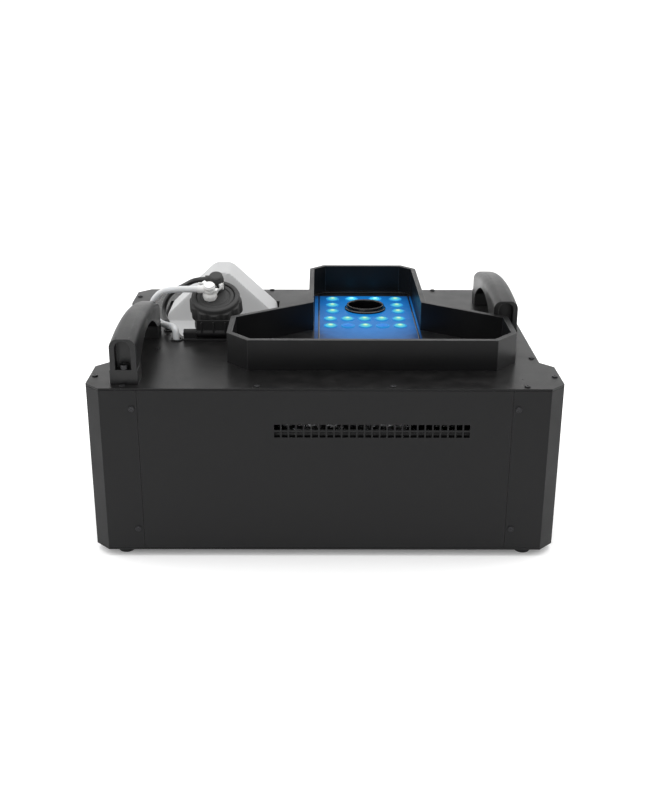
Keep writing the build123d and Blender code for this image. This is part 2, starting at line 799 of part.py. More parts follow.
def hose_elbow():
    elbow = Pos(0, 0, 3) * extrude(RegularPolygon(8, 6), amount=3, both=True)
    elbow += Pos(0, 0, 10) * Cylinder(6, 20)
    elbow = Pos(-6, -3, 0) * elbow
    elbow = cap_plane() * elbow
    end = place(HOSE_POINTS[0])
    elbow += along_x(end.Y, end.Z, end.X, BOTTLE_X - 6, HOSE_RADIUS + 0.8)
    return elbow


def cable_gland():
    gland = Pos(0, 0, 4) * extrude(RegularPolygon(9.5, 6), amount=4, both=True)
    gland += Pos(0, 0, 11.5) * Cylinder(7.8, 17)
    gland = cap_plane() * (Pos(1, 14, 0) * gland)
    end = place(CABLE_POINTS[0])
    gland += along_x(end.Y, end.Z, end.X, BOTTLE_X + 1, CABLE_RADIUS + 1.6)
    return gland


def place(point):
    across, distance, above = point
    return Vector(across, behind(distance), PLATE_TOP + above)


def cord(name, points, radius):
    route = [place(point) for point in points]
    tail = route[-1]
    route.append(Vector(tail.X, tail.Y, PLATE_TOP - TAIL_DEPTH))
    radii = []
    for before, corner, after in zip(route, route[1:], route[2:]):
        arriving = corner - before
        leaving = after - corner
        turn = math.radians(arriving.get_angle(leaving))
        radii.append(RUN_SHARE * min(arriving.length, leaving.length) / math.tan(turn / 2))
    path = FilletPolyline(*route, radius=radii)
    tube = sweep(Plane(origin=path @ 0, z_dir=path % 0) * Circle(radius), path=path)
    expected = math.pi * radius**2 * path.length
    print(name, "length", round(path.length, 1), "radii", [round(value, 1) for value in radii])
    print(name, "volume over section times length", round(tube.volume / expected, 4))
    return tube


# ---------------------------------------------------------------- cap clip


def clip_bracket():
    y = behind(CLIP_BEHIND)
    z = PLATE_TOP + CLIP_ABOVE
    base = block(BOTTLE_X - CLIP_BASE_HALF, BOTTLE_X + CLIP_BASE_HALF, y - 9, y + 9, PLATE_TOP, PLATE_TOP + 2)
    for x0, x1 in ((-CLIP_BASE_HALF, -CLIP_HALF - SIDE_GAP), (CLIP_HALF + SIDE_GAP, CLIP_BASE_HALF)):
        base += along_x(y, z, BOTTLE_X + x0, BOTTLE_X + x1, KNUCKLE - 1)
        base += block(BOTTLE_X + x0, BOTTLE_X + x1, y - KNUCKLE + 1, y + KNUCKLE - 1, PLATE_TOP + 2, z)
    return base - along_x(y, z, BOTTLE_X - CLIP_BASE_HALF - 1, BOTTLE_X + CLIP_BASE_HALF + 1, CLIP_PIN)


def clip_pin():
    y = behind(CLIP_BEHIND)
    z = PLATE_TOP + CLIP_ABOVE
    return along_x(y, z, BOTTLE_X - CLIP_BASE_HALF - 1, BOTTLE_X + CLIP_BASE_HALF + 1, CLIP_PIN)


def cap_clip():
    y = behind(CLIP_BEHIND)
    z = PLATE_TOP + CLIP_ABOVE
    clip = along_x(y, z, BOTTLE_X - CLIP_HALF, BOTTLE_X + CLIP_HALF, KNUCKLE)
    clip += block(BOTTLE_X - CLIP_HALF, BOTTLE_X + CLIP_HALF, y - 4, y - 4 + CLIP_THICK, z, z + CLIP_REACH)
    for rib in (-14, 0, 14):
        clip += block(BOTTLE_X + rib - 1, BOTTLE_X + rib + 1, y - 5.5, y - 4, z, z + CLIP_REACH - 2)
    return clip - along_x(y, z, BOTTLE_X - CLIP_HALF - 1, BOTTLE_X + CLIP_HALF + 1, CLIP_PIN + PIN_FIT)


# ---------------------------------------------------------------- handles


def handle_bolt_places():
    reach = SCOOP_DEPTH / 2
    spots = []
    for x, start in handle_starts():
        spots.append((x, behind(start) + reach))
        spots.append((x, behind(start) + HANDLE_LENGTH - reach))
    return spots


def handle_starts():
    x = HALF_WIDTH - HANDLE_INSET
    return [(-x, LEFT_HANDLE_BEHIND), (x, RIGHT_HANDLE_BEHIND)]


def grip_profile():
    end = HANDLE_LENGTH
    outer = [
        Line((0, 0), (0, HANDLE_BEND)),
        ThreePointArc((0, HANDLE_BEND), (HANDLE_CREST_AT, HANDLE_CREST), (end, HANDLE_REAR_BEND)),
        Line((end, HANDLE_REAR_BEND), (end, 0)),
        Line((end, 0), (end - HANDLE_LEG, 0)),
        Line((end - HANDLE_LEG, 0), (end - HANDLE_LEG, COLLAR_HEIGHT)),
        ThreePointArc(
            (end - HANDLE_LEG, COLLAR_HEIGHT),
            (HANDLE_CREST_AT, HANDLE_CREST - GRIP_THICK),
            (HANDLE_LEG, COLLAR_HEIGHT),
        ),
        Line((HANDLE_LEG, COLLAR_HEIGHT), (HANDLE_LEG, 0)),
        Line((HANDLE_LEG, 0), (0, 0)),
    ]
    return make_face(outer)


def handle(x, start):
    grip = extrude(Plane.YZ * grip_profile(), amount=HANDLE_WIDTH / 2, both=True)
    crown = grip.edges().filter_by(GeomType.CIRCLE).group_by(SortBy.LENGTH)[-1]
    grip = fillet(crown, HANDLE_EDGE)
    half = HANDLE_WIDTH / 2 + COLLAR_STEP
    for y0, y1 in ((0, HANDLE_LEG), (HANDLE_LENGTH - HANDLE_LEG, HANDLE_LENGTH)):
        grip += block(-half, half, y0, y1, 0, COLLAR_HEIGHT)
    scoop = SCOOP_WIDTH / 2
    back = HANDLE_LENGTH - SCOOP_DEPTH
    for y0, y1, bend in ((-1, SCOOP_DEPTH, HANDLE_BEND), (back, HANDLE_LENGTH + 1, HANDLE_REAR_BEND)):
        top = bend - SCOOP_TOP - scoop
        grip -= block(-scoop, scoop, y0, y1, COLLAR_HEIGHT, top)
        grip -= along_y(0, top, y0, y1, scoop)
    reach = SCOOP_DEPTH / 2
    for y in (reach, HANDLE_LENGTH - reach):
        grip -= upright(0, y, -1, COLLAR_HEIGHT + 1, HANDLE_BOLT + BOLT_FIT)
    return Pos(x, behind(start), PLATE_TOP) * grip


def handle_bolts():
    bolts = []
    for x, y in handle_bolt_places():
        seat = PLATE_TOP + COLLAR_HEIGHT
        bolt = upright(x, y, seat, seat + BOLT_HEAD, BOLT_HEAD)
        bolt -= Pos(x, y, seat + BOLT_HEAD) * extrude(RegularPolygon(2.6, 6), amount=3, both=True)
        bolts.append(bolt + upright(x, y, PLATE_LOW - 6, seat, HANDLE_BOLT))
    return bolts


# ---------------------------------------------------------------- feet


def foot(x, y):
    body = Pos(x, y, FOOT_HEIGHT / 2) * Cone(FOOT_RADIUS - 1.5, FOOT_RADIUS, FOOT_HEIGHT)
    return body - upright(x, y, 2, FOOT_HEIGHT + 1, SCREW_SHANK)


# ---------------------------------------------------------------- fan


def fan_frame():
    front = REAR_INNER - FAN_DEPTH
    half = FAN_SIZE / 2
    frame = block(FAN_X - half, FAN_X + half, front, REAR_INNER, FAN_Z - half, FAN_Z + half)
    frame -= along_y(FAN_X, FAN_Z, front - 1, REAR_INNER + 1, FAN_BORE)
    hub = along_y(FAN_X, FAN_Z, front, front + 3, FAN_HUB)
    for spoke in range(4):
        arm = block(-2, 2, front, front + 3, 0, FAN_BORE + 1)
        hub += Pos(FAN_X, 0, FAN_Z) * Rot(0, 45 + spoke * 90, 0) * arm
    return frame + hub - along_y(FAN_X, FAN_Z, front - 1, front + 4, SHAFT_RADIUS + SHAFT_FIT)


def fan_rotor():
    front = REAR_INNER - FAN_DEPTH
    rotor = along_y(FAN_X, FAN_Z, front + 3.6, REAR_INNER - 2, FAN_HUB - 0.5)
    rotor += along_y(FAN_X, FAN_Z, front + 0.5, front + 4, SHAFT_RADIUS)
    depth = FAN_DEPTH - 9
    for blade in range(FAN_BLADES):
        vane = Pos(0, 0, (FAN_HUB + FAN_TIP) / 2 - 1) * Box(1.4, depth, FAN_TIP - FAN_HUB + 2)
        vane = Rot(0, 0, 38) * vane
        rotor += Pos(FAN_X, front + 12, FAN_Z) * Rot(0, blade * 360 / FAN_BLADES, 0) * vane
    return rotor


def fan_guard():
    y = REAR_OUTER + 2.2
    guard = along_y(FAN_X, FAN_Z, y - 0.8, y + 0.8, 7)
    outer = FAN_BORE - 1
    pad_end = FAN_SIZE / math.sqrt(2) - 3.5
    for ring in range(GUARD_RINGS):
        guard += Pos(FAN_X, y, FAN_Z) * Rot(90, 0, 0) * Torus(outer - ring * GUARD_PITCH, GUARD_WIRE)
    for arm in range(4):
        angle = 45 + 90 * arm
        reach = pad_end - GUARD_PAD + 3
        bar = Pos(0, 0, 4 + (reach - 4) / 2) * Cylinder(GUARD_WIRE, reach - 4)
        pad = block(-4, 4, -2.2, 0, pad_end - GUARD_PAD, pad_end)
        spoke = Rot(0, angle, 0) * (bar + pad)
        guard += Pos(FAN_X, y, FAN_Z) * spoke
    return guard


# ---------------------------------------------------------------- rear controls


def button_places():
    first = FASCIA_X + 8
    return [first + step * BUTTON_PITCH for step in range(4)]


def display_span():
    return FASCIA_X - FASCIA_WIDTH / 2 + 6, FASCIA_X - FASCIA_WIDTH / 2 + 6 + DISPLAY_WIDTH


def display_rise():
    return FASCIA_Z - DISPLAY_HEIGHT / 2, FASCIA_Z + DISPLAY_HEIGHT / 2


def control_fascia():
    half = FASCIA_WIDTH / 2
    rise = FASCIA_HEIGHT / 2
    outer = REAR_OUTER + FASCIA_SHEET
    fascia = block(FASCIA_X - half, FASCIA_X + half, REAR_OUTER, outer, FASCIA_Z - rise, FASCIA_Z + rise)
    fascia = fillet(fascia.edges().filter_by(Axis.Y), 4)
    fascia -= block(*display_span(), REAR_OUTER - 1, outer + 1, *display_rise())
    for x in button_places():
        fascia -= along_y(x, FASCIA_Z, REAR_OUTER - 1, outer + 1, BUTTON_RADIUS + BUTTON_FIT)
    return fascia


def menu_button(x):
    outer = REAR_OUTER + FASCIA_SHEET + BUTTON_RISE
    cap = along_y(x, FASCIA_Z, REAR_INNER - 2, outer, BUTTON_RADIUS)
    cap = fillet(cap.edges().group_by(Axis.Y)[-1], 1)
    collar = along_y(x, FASCIA_Z, REAR_INNER - 4, REAR_INNER - 2, BUTTON_RADIUS + 1.2)
    return cap + collar + along_y(x, FASCIA_Z, REAR_INNER - BUTTON_STEM, REAR_INNER - 4, 2)


def control_board():
    front = REAR_INNER - 16
    x0 = FASCIA_X - FASCIA_WIDTH / 2
    x1 = FASCIA_X + FASCIA_WIDTH / 2
    board = block(x0, x1, front, front + 1.6, FASCIA_Z - 25, FASCIA_Z + 25)
    for x in (x0 + 8, x1 - 8):
        for z in (FASCIA_Z - 20, FASCIA_Z + 20):
            board += along_y(x, z, front + 1.6, REAR_INNER, 3)
    board += block(FASCIA_X - 20, FASCIA_X + 5, front - 8, front, FASCIA_Z - 10, FASCIA_Z + 10)
    left, right = display_span()
    low, high = display_rise()
    display = block(left + FIT, right - FIT, front + 1.6, REAR_OUTER + 0.5, low + FIT, high - FIT)
    return board + display


def data_socket(x, bore):
    socket = block(x - 13, x + 13, REAR_OUTER, REAR_OUTER + 2, DATA_Z - 15.5, DATA_Z + 15.5)
    socket = fillet(socket.edges().filter_by(Axis.Y), 3)
    socket += along_y(x, DATA_Z, REAR_INNER - 26, REAR_OUTER, DATA_BARREL)
    return socket - along_y(x, DATA_Z, REAR_INNER - 16, REAR_OUTER + 3, bore)


def pin_circle(x, radius):
    spots = []
    for angle in (90, 210, 330):
        turn = math.radians(angle)
        spots.append((x + radius * math.cos(turn), DATA_Z + radius * math.sin(turn)))
    return spots


def data_input():
    socket = data_socket(DATA_IN_X, 9.5)
    for x, z in pin_circle(DATA_IN_X, 4.8):
        socket += along_y(x, z, REAR_INNER - 17, REAR_OUTER - 3, 1.2)
    return socket


def data_output():
    x = DATA_OUT_X
    socket = data_socket(x, 9.5)
    core = along_y(x, DATA_Z, REAR_INNER - 16, REAR_OUTER - 1, 7)
    for spot, z in pin_circle(x, 4.2):
        core -= along_y(spot, z, REAR_INNER - 14, REAR_OUTER + 1, 1.4)
    slot = block(*latch_span(LATCH_GAP), REAR_INNER - 1, REAR_OUTER + 4, *latch_rise(LATCH_GAP))
    return socket + core - slot


def latch_span(gap):
    return DATA_OUT_X - LATCH_HALF - gap, DATA_OUT_X + LATCH_HALF + gap


def latch_rise(gap):
    return DATA_Z + LATCH_UP - gap, DATA_Z + LATCH_UP + LATCH_HEIGHT + gap


def latch_button():
    tab = block(*latch_span(0), REAR_OUTER + 1, REAR_OUTER + 3.6, *latch_rise(0))
    return fillet(tab.edges().group_by(Axis.Y)[-1], 0.8)


def mains_inlet():
    x = INLET_X
    inlet = block(x - 20, x + 20, REAR_INNER - 30, REAR_OUTER, INLET_Z - 14, INLET_Z + 14)
    flange = block(x - 32, x + 32, REAR_OUTER, REAR_OUTER + 2, INLET_Z - 17, INLET_Z + 17)
    inlet += fillet(flange.edges().filter_by(Axis.Y), 4)
    inlet -= block(x - 16, x + 16, REAR_OUTER - 20, REAR_OUTER + 3, INLET_Z - 11, INLET_Z + 11)
    for across, up in ((-8, -3), (0, 4), (8, -3)):
        spot = x + across
        height = INLET_Z + up
        inlet += block(spot - 1, spot + 1, REAR_OUTER - 21, REAR_OUTER - 4, height - 3.5, height + 3.5)
    return inlet


def switch_frame():
    x = SWITCH_X
    frame = block(x - 10, x + 10, REAR_INNER - 16, REAR_OUTER, SWITCH_Z - 14, SWITCH_Z + 14)
    flange = block(x - 12.5, x + 12.5, REAR_OUTER, REAR_OUTER + 2, SWITCH_Z - 16.5, SWITCH_Z + 16.5)
    frame += fillet(flange.edges().filter_by(Axis.Y), 2)
    frame -= block(x - 8, x + 8, REAR_INNER - 13, REAR_OUTER + 3, SWITCH_Z - 12.5, SWITCH_Z + 12.5)
    return frame - along_x(REAR_OUTER - 4, SWITCH_Z, x - 9.5, x + 9.5, 1.5 + SHAFT_FIT)


def switch_rocker():
    rocker = block(-7.6, 7.6, -3.5, 4, -11.6, 11.6)
    crown = Pos(0, 4, 0) * Rot(0, 90, 0) * Cylinder(14, 15.2)
    rocker = rocker & Pos(0, -7, 0) * Rot(0, 90, 0) * Cylinder(15, 15.2)
    rocker -= Pos(0, 27, 0) * Rot(0, 90, 0) * Cylinder(23.5, 16) & crown
    rocker += Rot(0, 90, 0) * Cylinder(1.5, 18.6)
    return Pos(SWITCH_X, REAR_OUTER - 4, SWITCH_Z) * Rot(SWITCH_TILT, 0, 0) * rocker


# ---------------------------------------------------------------- pump and electronics


def pump_body():
    y = behind(PUMP_BEHIND)
    x = PUMP_X
    body = block(x - 24, x + 24, y - 22, y + 22, PUMP_UP - 22, PUMP_UP + 22)
    body += along_x(y, PUMP_UP, x - 42, x + 42, 11)
    body += along_x(y, PUMP_UP, x - 50, x + 48, 4)
    body -= along_x(y, PUMP_UP, x - 36, x + 36, PISTON_RADIUS + PISTON_FIT)
    return body - along_x(y, PUMP_UP, x - 51, x + 49, 1.5)


def pump_piston():
    half = PISTON_LENGTH / 2
    y = behind(PUMP_BEHIND)
    return along_x(y, PUMP_UP, PUMP_X - half, PUMP_X + half, PISTON_RADIUS)


def pump_bracket():
    y = behind(PUMP_BEHIND)
    base = block(PUMP_X - 34, PUMP_X + 34, y - 30, y + 30, PAN_TOP, PAN_TOP + PAN_SHEET)
    base += block(PUMP_X - 26, PUMP_X + 26, y - 24, y + 24, PUMP_UP - 24, PUMP_UP - 22)
    for x in both_sides([22]):
        for side in both_sides([20]):
            base += upright(PUMP_X + x, y + side, PAN_TOP + PAN_SHEET, PUMP_UP - 24, 4)
    return base


def feed_pipe():
    y = behind(PUMP_BEHIND)
    start = PUMP_X + 48
    end = HEATER_LOW_X - LAGGING
    turn = start + 7
    points = [(start, y, PUMP_UP), (turn, y, PUMP_UP), (turn, y, PUMP_UP + 40), (end, y, PUMP_UP + 40)]
    path = FilletPolyline(*points, radius=5)
    return sweep(Plane(origin=path @ 0, z_dir=path % 0) * Circle(2.5), path=path)


def wiring_loom():
    y = behind(16)
    high = PLATE_TOP - VENT_TOP_DROP - 14
    low = PAN_TOP + RIM_HEIGHT
    reach = HALF_WIDTH - LOOM_INSET
    points = [(-reach, y, low), (-reach, y, high), (reach, y, high), (reach, y, low)]
    path = FilletPolyline(*points, radius=30)
    return sweep(Plane(origin=path @ 0, z_dir=path % 0) * Circle(LOOM_RADIUS), path=path)


def power_supply():
    x0 = POWER_X
    y0 = behind(SUPPLY_BEHIND)
    top = PAN_TOP + SUPPLY_HEIGHT
    case = block(x0, x0 + POWER_WIDTH, y0, y0 + SUPPLY_LENGTH, PAN_TOP, top)
    for slot in range(9):
        y = y0 + 20 + slot * 13
        case -= block(x0 + 15, x0 + POWER_WIDTH - 15, y, y + 5, top - 3, top + 1)
    return case


def power_board():
    x0 = POWER_X
    x1 = POWER_X + POWER_WIDTH
    y0 = behind(BOARD_BEHIND)
    y1 = y0 + BOARD_LENGTH
    low = PAN_TOP + 8
    top = low + LAMP_BOARD
    board = block(x0, x1, y0, y1, low, top)
    for x in (x0 + 6, x1 - 6):
        for y in (y0 + 6, y1 - 6):
            board += upright(x, y, PAN_TOP, low, 3)
    board += block(x0 + 14, x1 - 14, y0 + 14, y0 + 20, top, top + 16)
    for fin in range(10):
        left = x0 + 14 + fin * 7.5
        board += block(left, left + 2.5, y0 + 20, y0 + 46, top, top + 16)
    return board + block(x0 + 20, x0 + 60, y0 + 60, y0 + 90, top, top + 24)


def main():
    os.makedirs("parts", exist_ok=True)
    skin = case_skin()
    save("base_pan", base_pan())
    save("front_panel", front_panel(skin))
    save("rear_panel", rear_panel())
    save("side_panel_left", side_panel(skin, -1))
    save("side_panel_right", side_panel(skin, 1))
    save("front_corner_posts", [corner_post(skin, side, -1) for side in (-1, 1)])
    save("rear_corner_posts", [corner_post(skin, side, 1) for side in (-1, 1)])
    save("top_plate", top_plate())
    save("case_screws", case_screws())
    save("feet", [foot(x, y) for x, y in foot_places()])
    save("tray_wall", tray_wall())
    save("lamp_panel", lamp_panel())
    save("lamp_lenses", [lens(x, y) for x, y in lamp_places()])
    save("dark_lenses", [lens(x, y) for x, y in dark_lamp_places()])
    save("lamp_board", lamp_board())
    save("lamp_heat_sink", lamp_heat_sink())
    save("nozzle_collar", nozzle_collar())
    save("fog_jet", fog_jet())
    save("heater_block", heater_block())
    save("heater_rods", heater_rods())
    save("thermal_cutouts", thermal_cutouts())
    save("heater_insulation", heater_insulation())
    save("heater_brackets", heater_brackets())
    save("bottle_well", bottle_well())
    save("plate_grommets", [grommet(*spot) for spot in grommet_places()])
    save("bottle", bottle())
    save("cap_insert", cap_insert())
    save("cap_ring", cap_ring())
    save("hose_elbow", hose_elbow())
    save("cable_gland", cable_gland())
    save("suction_hose", cord("suction_hose", HOSE_POINTS, HOSE_RADIUS))
    save("float_cable", cord("float_cable", CABLE_POINTS, CABLE_RADIUS))
    save("clip_bracket", clip_bracket())
    save("clip_pin", clip_pin())
    save("cap_clip", cap_clip())
    for name, (x, start) in zip(("handle_left", "handle_right"), handle_starts()):
        save(name, handle(x, start))
    save("handle_bolts", handle_bolts())
    save("fan_frame", fan_frame())
    save("fan_rotor", fan_rotor())
    save("fan_guard", fan_guard())
    save("control_fascia", control_fascia())
    for number, x in enumerate(button_places(), start=1):
        save(f"menu_button_{number}", menu_button(x))
    save("control_board", control_board())
    save("data_input", data_input())
    save("data_output", data_output())
    save("latch_button", latch_button())
    save("mains_inlet", mains_inlet())
    save("switch_frame", switch_frame())
    save("switch_rocker", switch_rocker())
    save("pump_body", pump_body())
    save("pump_piston", pump_piston())
    save("pump_bracket", pump_bracket())
    save("feed_pipe", feed_pipe())
    save("wiring_loom", wiring_loom())
    save("power_supply", power_supply())
    save("power_board", power_board())


main()
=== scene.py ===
import logging
import math
from dataclasses import dataclass
from enum import Enum
from typing import Callable

import bmesh
import bpy
import numpy as np
from mathutils import Matrix, Vector


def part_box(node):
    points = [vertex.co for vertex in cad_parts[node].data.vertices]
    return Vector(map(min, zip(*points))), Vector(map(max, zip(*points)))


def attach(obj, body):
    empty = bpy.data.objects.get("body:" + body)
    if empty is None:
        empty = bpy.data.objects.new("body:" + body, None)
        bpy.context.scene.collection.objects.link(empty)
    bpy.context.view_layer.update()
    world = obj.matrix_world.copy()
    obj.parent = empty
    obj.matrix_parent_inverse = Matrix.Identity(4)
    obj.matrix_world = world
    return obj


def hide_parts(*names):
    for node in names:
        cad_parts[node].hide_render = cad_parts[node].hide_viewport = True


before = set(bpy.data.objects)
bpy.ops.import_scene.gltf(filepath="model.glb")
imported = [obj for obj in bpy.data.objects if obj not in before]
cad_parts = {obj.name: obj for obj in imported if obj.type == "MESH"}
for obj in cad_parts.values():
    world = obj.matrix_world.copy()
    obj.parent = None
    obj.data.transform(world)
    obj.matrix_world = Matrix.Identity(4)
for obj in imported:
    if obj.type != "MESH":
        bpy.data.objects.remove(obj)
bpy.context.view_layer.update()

log = logging.getLogger("fog_machine")

MM = 0.001
MERGE_DISTANCE = 1e-6
SHARP_ANGLE = math.radians(38)


class Body(str, Enum):
    """The moving bodies that pieces ride on."""

    CASE = "case"
    BOTTLE = "bottle"
    CAP_RING = "cap_ring"
    FAN = "fan_rotor"


class Slot(str, Enum):
    """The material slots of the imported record."""

    PLASTIC = "black_plastic"
    RUBBER = "rubber"
    BOTTLE = "bottle_white"
    HOSE = "hose_white"
    SCREW = "black_screw"
    LIT = "lens_lit"
    DARK = "lens_dark"
    FOIL = "foil"
    GLOSS = "gloss_black"


# ------------------------------------------------------------------ numpy surfaces


@dataclass
class Surface:
    """A grid of points with its faces.

    Attributes:
        points: Vertex positions, one row each, in metres.
        quads: Four vertex numbers for each face.
        uv: A texture place for each vertex, or None.
    """

    points: np.ndarray
    quads: np.ndarray
    uv: np.ndarray | None = None

    def moved(self, matrix: Matrix) -> "Surface":
        """The same surface after a rigid move given as a 4 by 4 matrix."""
        m = np.array(matrix)
        return Surface(self.points @ m[:3, :3].T + m[:3, 3], self.quads, self.uv)


def joined(surfaces: list[Surface]) -> Surface:
    """Puts several surfaces in one, each face number raised by the vertices that came before it.

    Args:
        surfaces: The surfaces, all with texture places or all without.

    Returns:
        One surface that holds them all.
    """
    starts = np.cumsum([0] + [len(s.points) for s in surfaces[:-1]])
    quads = np.concatenate([s.quads + start for s, start in zip(surfaces, starts)])
    uv = np.concatenate([s.uv for s in surfaces]) if surfaces[0].uv is not None else None
    return Surface(np.concatenate([s.points for s in surfaces]), quads, uv)


def copies(one: Surface, places: list[tuple[float, float, float]]) -> Surface:
    """The same surface at each place, in mm."""
    return joined([one.moved(Matrix.Translation(Vector(place) * MM)) for place in places])


def grid_quads(rows: int, columns: int, wrap_rows: bool, wrap_columns: bool) -> np.ndarray:
    """Faces of a grid whose vertex number is row times columns plus column.

    Args:
        rows: Number of rows of vertices.
        columns: Number of columns of vertices.
        wrap_rows: Whether the last row joins the first.
        wrap_columns: Whether the last column joins the first.

    Returns:
        Four vertex numbers for each face.
    """
    row = np.arange(rows if wrap_rows else rows - 1)[:, None]
    column = np.arange(columns if wrap_columns else columns - 1)[None, :]
    next_row = (row + 1) % rows
    next_column = (column + 1) % columns
    corners = (
        row * columns + column,
        row * columns + next_column,
        next_row * columns + next_column,
        next_row * columns + column,
    )
    return np.stack(np.broadcast_arrays(*corners), -1).reshape(-1, 4)


def rounded(points: list[tuple[float, ...]], radius: float | list[float], steps: int = 5) -> np.ndarray:
    """Rounds a closed outline: each corner is the curve (1-t)^2 a + 2t(1-t) corner + t^2 b.

    a and b lie on the two edges of the corner, a cut away from it, and a cut is at most 0.45 of its edge.

    Args:
        points: The outline's corners.
        radius: How far from the corner the curve starts, for all corners or one each.
        steps: Points on each curve.

    Returns:
        The rounded outline's points.
    """
    corner = np.asarray(points, float)
    back = np.roll(corner, 1, 0) - corner
    ahead = np.roll(corner, -1, 0) - corner
    back_length = np.linalg.norm(back, axis=1, keepdims=True)
    ahead_length = np.linalg.norm(ahead, axis=1, keepdims=True)
    wanted = np.broadcast_to(radius, len(corner))[:, None]
    a = corner + back / back_length * np.minimum(wanted, 0.45 * back_length)
    b = corner + ahead / ahead_length * np.minimum(wanted, 0.45 * ahead_length)
    t = np.linspace(0, 1, steps)[None, :, None]
    curve = (1 - t) ** 2 * a[:, None] + 2 * t * (1 - t) * corner[:, None] + t**2 * b[:, None]
    return curve.reshape(-1, corner.shape[1])


def capped(profile: list[tuple[float, float]], radius: float) -> np.ndarray:
    """Rounds an open profile that starts and ends on the axis: both ends stay where they are."""
    return np.concatenate([profile[:1], rounded(profile, radius, 4)[4:-4], profile[-1:]])


def lathe(
    profile: np.ndarray,
    segments: int,
    closed: bool = True,
    ripple: Callable[[np.ndarray, np.ndarray, np.ndarray], np.ndarray] | None = None,
) -> Surface:
    """Turns a profile about Z: the point is (r cos a, r sin a, z), with r raised by the ripple.

    Args:
        profile: Radius and height of each profile point, in metres.
        segments: Steps round the turn.
        closed: Whether the profile's last point joins its first.
        ripple: Adds to the radius, from the radius, the height and the angle.

    Returns:
        The turned surface, with texture places across it seen from above.
    """
    angle = np.linspace(0, 2 * np.pi, segments, endpoint=False)[None, :]
    height = np.broadcast_to(profile[:, 1][:, None], (len(profile), segments))
    radius = profile[:, 0][:, None] + np.zeros_like(angle)
    if ripple is not None:
        radius = radius + ripple(radius, height, angle)
    points = np.stack([radius * np.cos(angle), radius * np.sin(angle), height], -1).reshape(-1, 3)
    reach = float(profile[:, 0].max())
    across = points[:, :2] / (2 * reach) + 0.5
    return Surface(points, grid_quads(len(profile), segments, closed, True), across)


def carried(profile: np.ndarray, path: np.ndarray, up: tuple[float, float, float], loop: bool) -> Surface:
    """Carries a closed profile along a path: the point is path + u side + v over.

    side is the path's direction crossed with up, and over is side crossed with the direction. An open path
    gets a last ring at each end that is drawn in to the path, which closes it.

    Args:
        profile: The closed profile's (u, v) points.
        path: The points that it follows.
        up: The direction that v keeps to.
        loop: Whether the path joins its own start.

    Returns:
        The carried surface.
    """
    if loop:
        ahead = np.roll(path, -1, 0) - np.roll(path, 1, 0)
    else:
        ahead = np.gradient(path, axis=0)
    ahead = ahead / np.linalg.norm(ahead, axis=1, keepdims=True)
    side = np.cross(ahead, np.array(up, float))
    side = side / np.linalg.norm(side, axis=1, keepdims=True)
    over = np.cross(side, ahead)
    rings = path[:, None] + profile[None, :, :1] * side[:, None] + profile[None, :, 1:] * over[:, None]
    if not loop:
        start = np.repeat(path[:1, None], len(profile), 1)
        end = np.repeat(path[-1:, None], len(profile), 1)
        rings = np.concatenate([start, rings, end])
    return Surface(rings.reshape(-1, 3), grid_quads(len(rings), len(profile), loop, True))


def slab(low: tuple[float, float, float], high: tuple[float, float, float], radius: float) -> Surface:
    """A rounded plate: its outline across X and Z is carried along Y and drawn in at both faces.

    Args:
        low: Lowest corner, in metres.
        high: Highest corner, in metres.
        radius: Corner radius seen along Y.

    Returns:
        The closed plate.
    """
    outline = rounded([(low[0], low[2]), (high[0], low[2]), (high[0], high[2]), (low[0], high[2])], radius)
    middle = outline.mean(0)
    soft = min(radius, (high[1] - low[1]) / 2) * 0.5
    stations = [(0.0, low[1]), (1 - soft / 0.01, low[1]), (1.0, low[1] + soft)]
    stations += [(1.0, high[1] - soft), (1 - soft / 0.01, high[1]), (0.0, high[1])]
    share = np.clip(np.array([s[0] for s in stations]), 0, 1)[:, None, None]
    across = middle + (outline[None] - middle) * share
    depth = np.broadcast_to(np.array([s[1] for s in stations])[:, None, None], (*across.shape[:2], 1))
    points = np.concatenate([across[..., :1], depth, across[..., 1:]], -1)
    return Surface(points.reshape(-1, 3), grid_quads(len(stations), len(outline), False, True))


def make_piece(name: str, surface: Surface) -> bpy.types.Object:
    """Makes a mesh object of a surface, closes its seams and poles and turns its faces outwards.

    Args:
        name: The piece's name.
        surface: Its points and faces, in the frame's own metres.

    Returns:
        The new object, at the origin.
    """
    mesh = bpy.data.meshes.new(name)
    mesh.vertices.add(len(surface.points))
    mesh.vertices.foreach_set("co", surface.points.astype(np.float32).ravel())
    mesh.loops.add(surface.quads.size)
    mesh.loops.foreach_set("vertex_index", surface.quads.astype(np.int32).ravel())
    mesh.polygons.add(len(surface.quads))
    mesh.polygons.foreach_set("loop_start", np.arange(0, surface.quads.size, 4, dtype=np.int32))
    if surface.uv is not None:
        layer = mesh.uv_layers.new(name="Across")
        layer.data.foreach_set("uv", surface.uv[surface.quads.ravel()].astype(np.float32).ravel())
    mesh.update(calc_edges=True)
    mesh.validate()
    work = bmesh.new()
    work.from_mesh(mesh)
    bmesh.ops.remove_doubles(work, verts=work.verts, dist=MERGE_DISTANCE)
    bmesh.ops.recalc_face_normals(work, faces=work.faces)
    work.to_mesh(mesh)
    work.free()
    mesh.shade_smooth()
    mesh.set_sharp_from_angle(angle=SHARP_ANGLE)
    piece = bpy.data.objects.new(name, mesh)
    bpy.context.scene.collection.objects.link(piece)
    return piece


# ------------------------------------------------------------------ shader groups and finishes


FLOAT = "NodeSocketFloat"
COLOR = "NodeSocketColor"
VECTOR = "NodeSocketVector"
Tree = bpy.types.NodeTree
Socket = bpy.types.NodeSocket


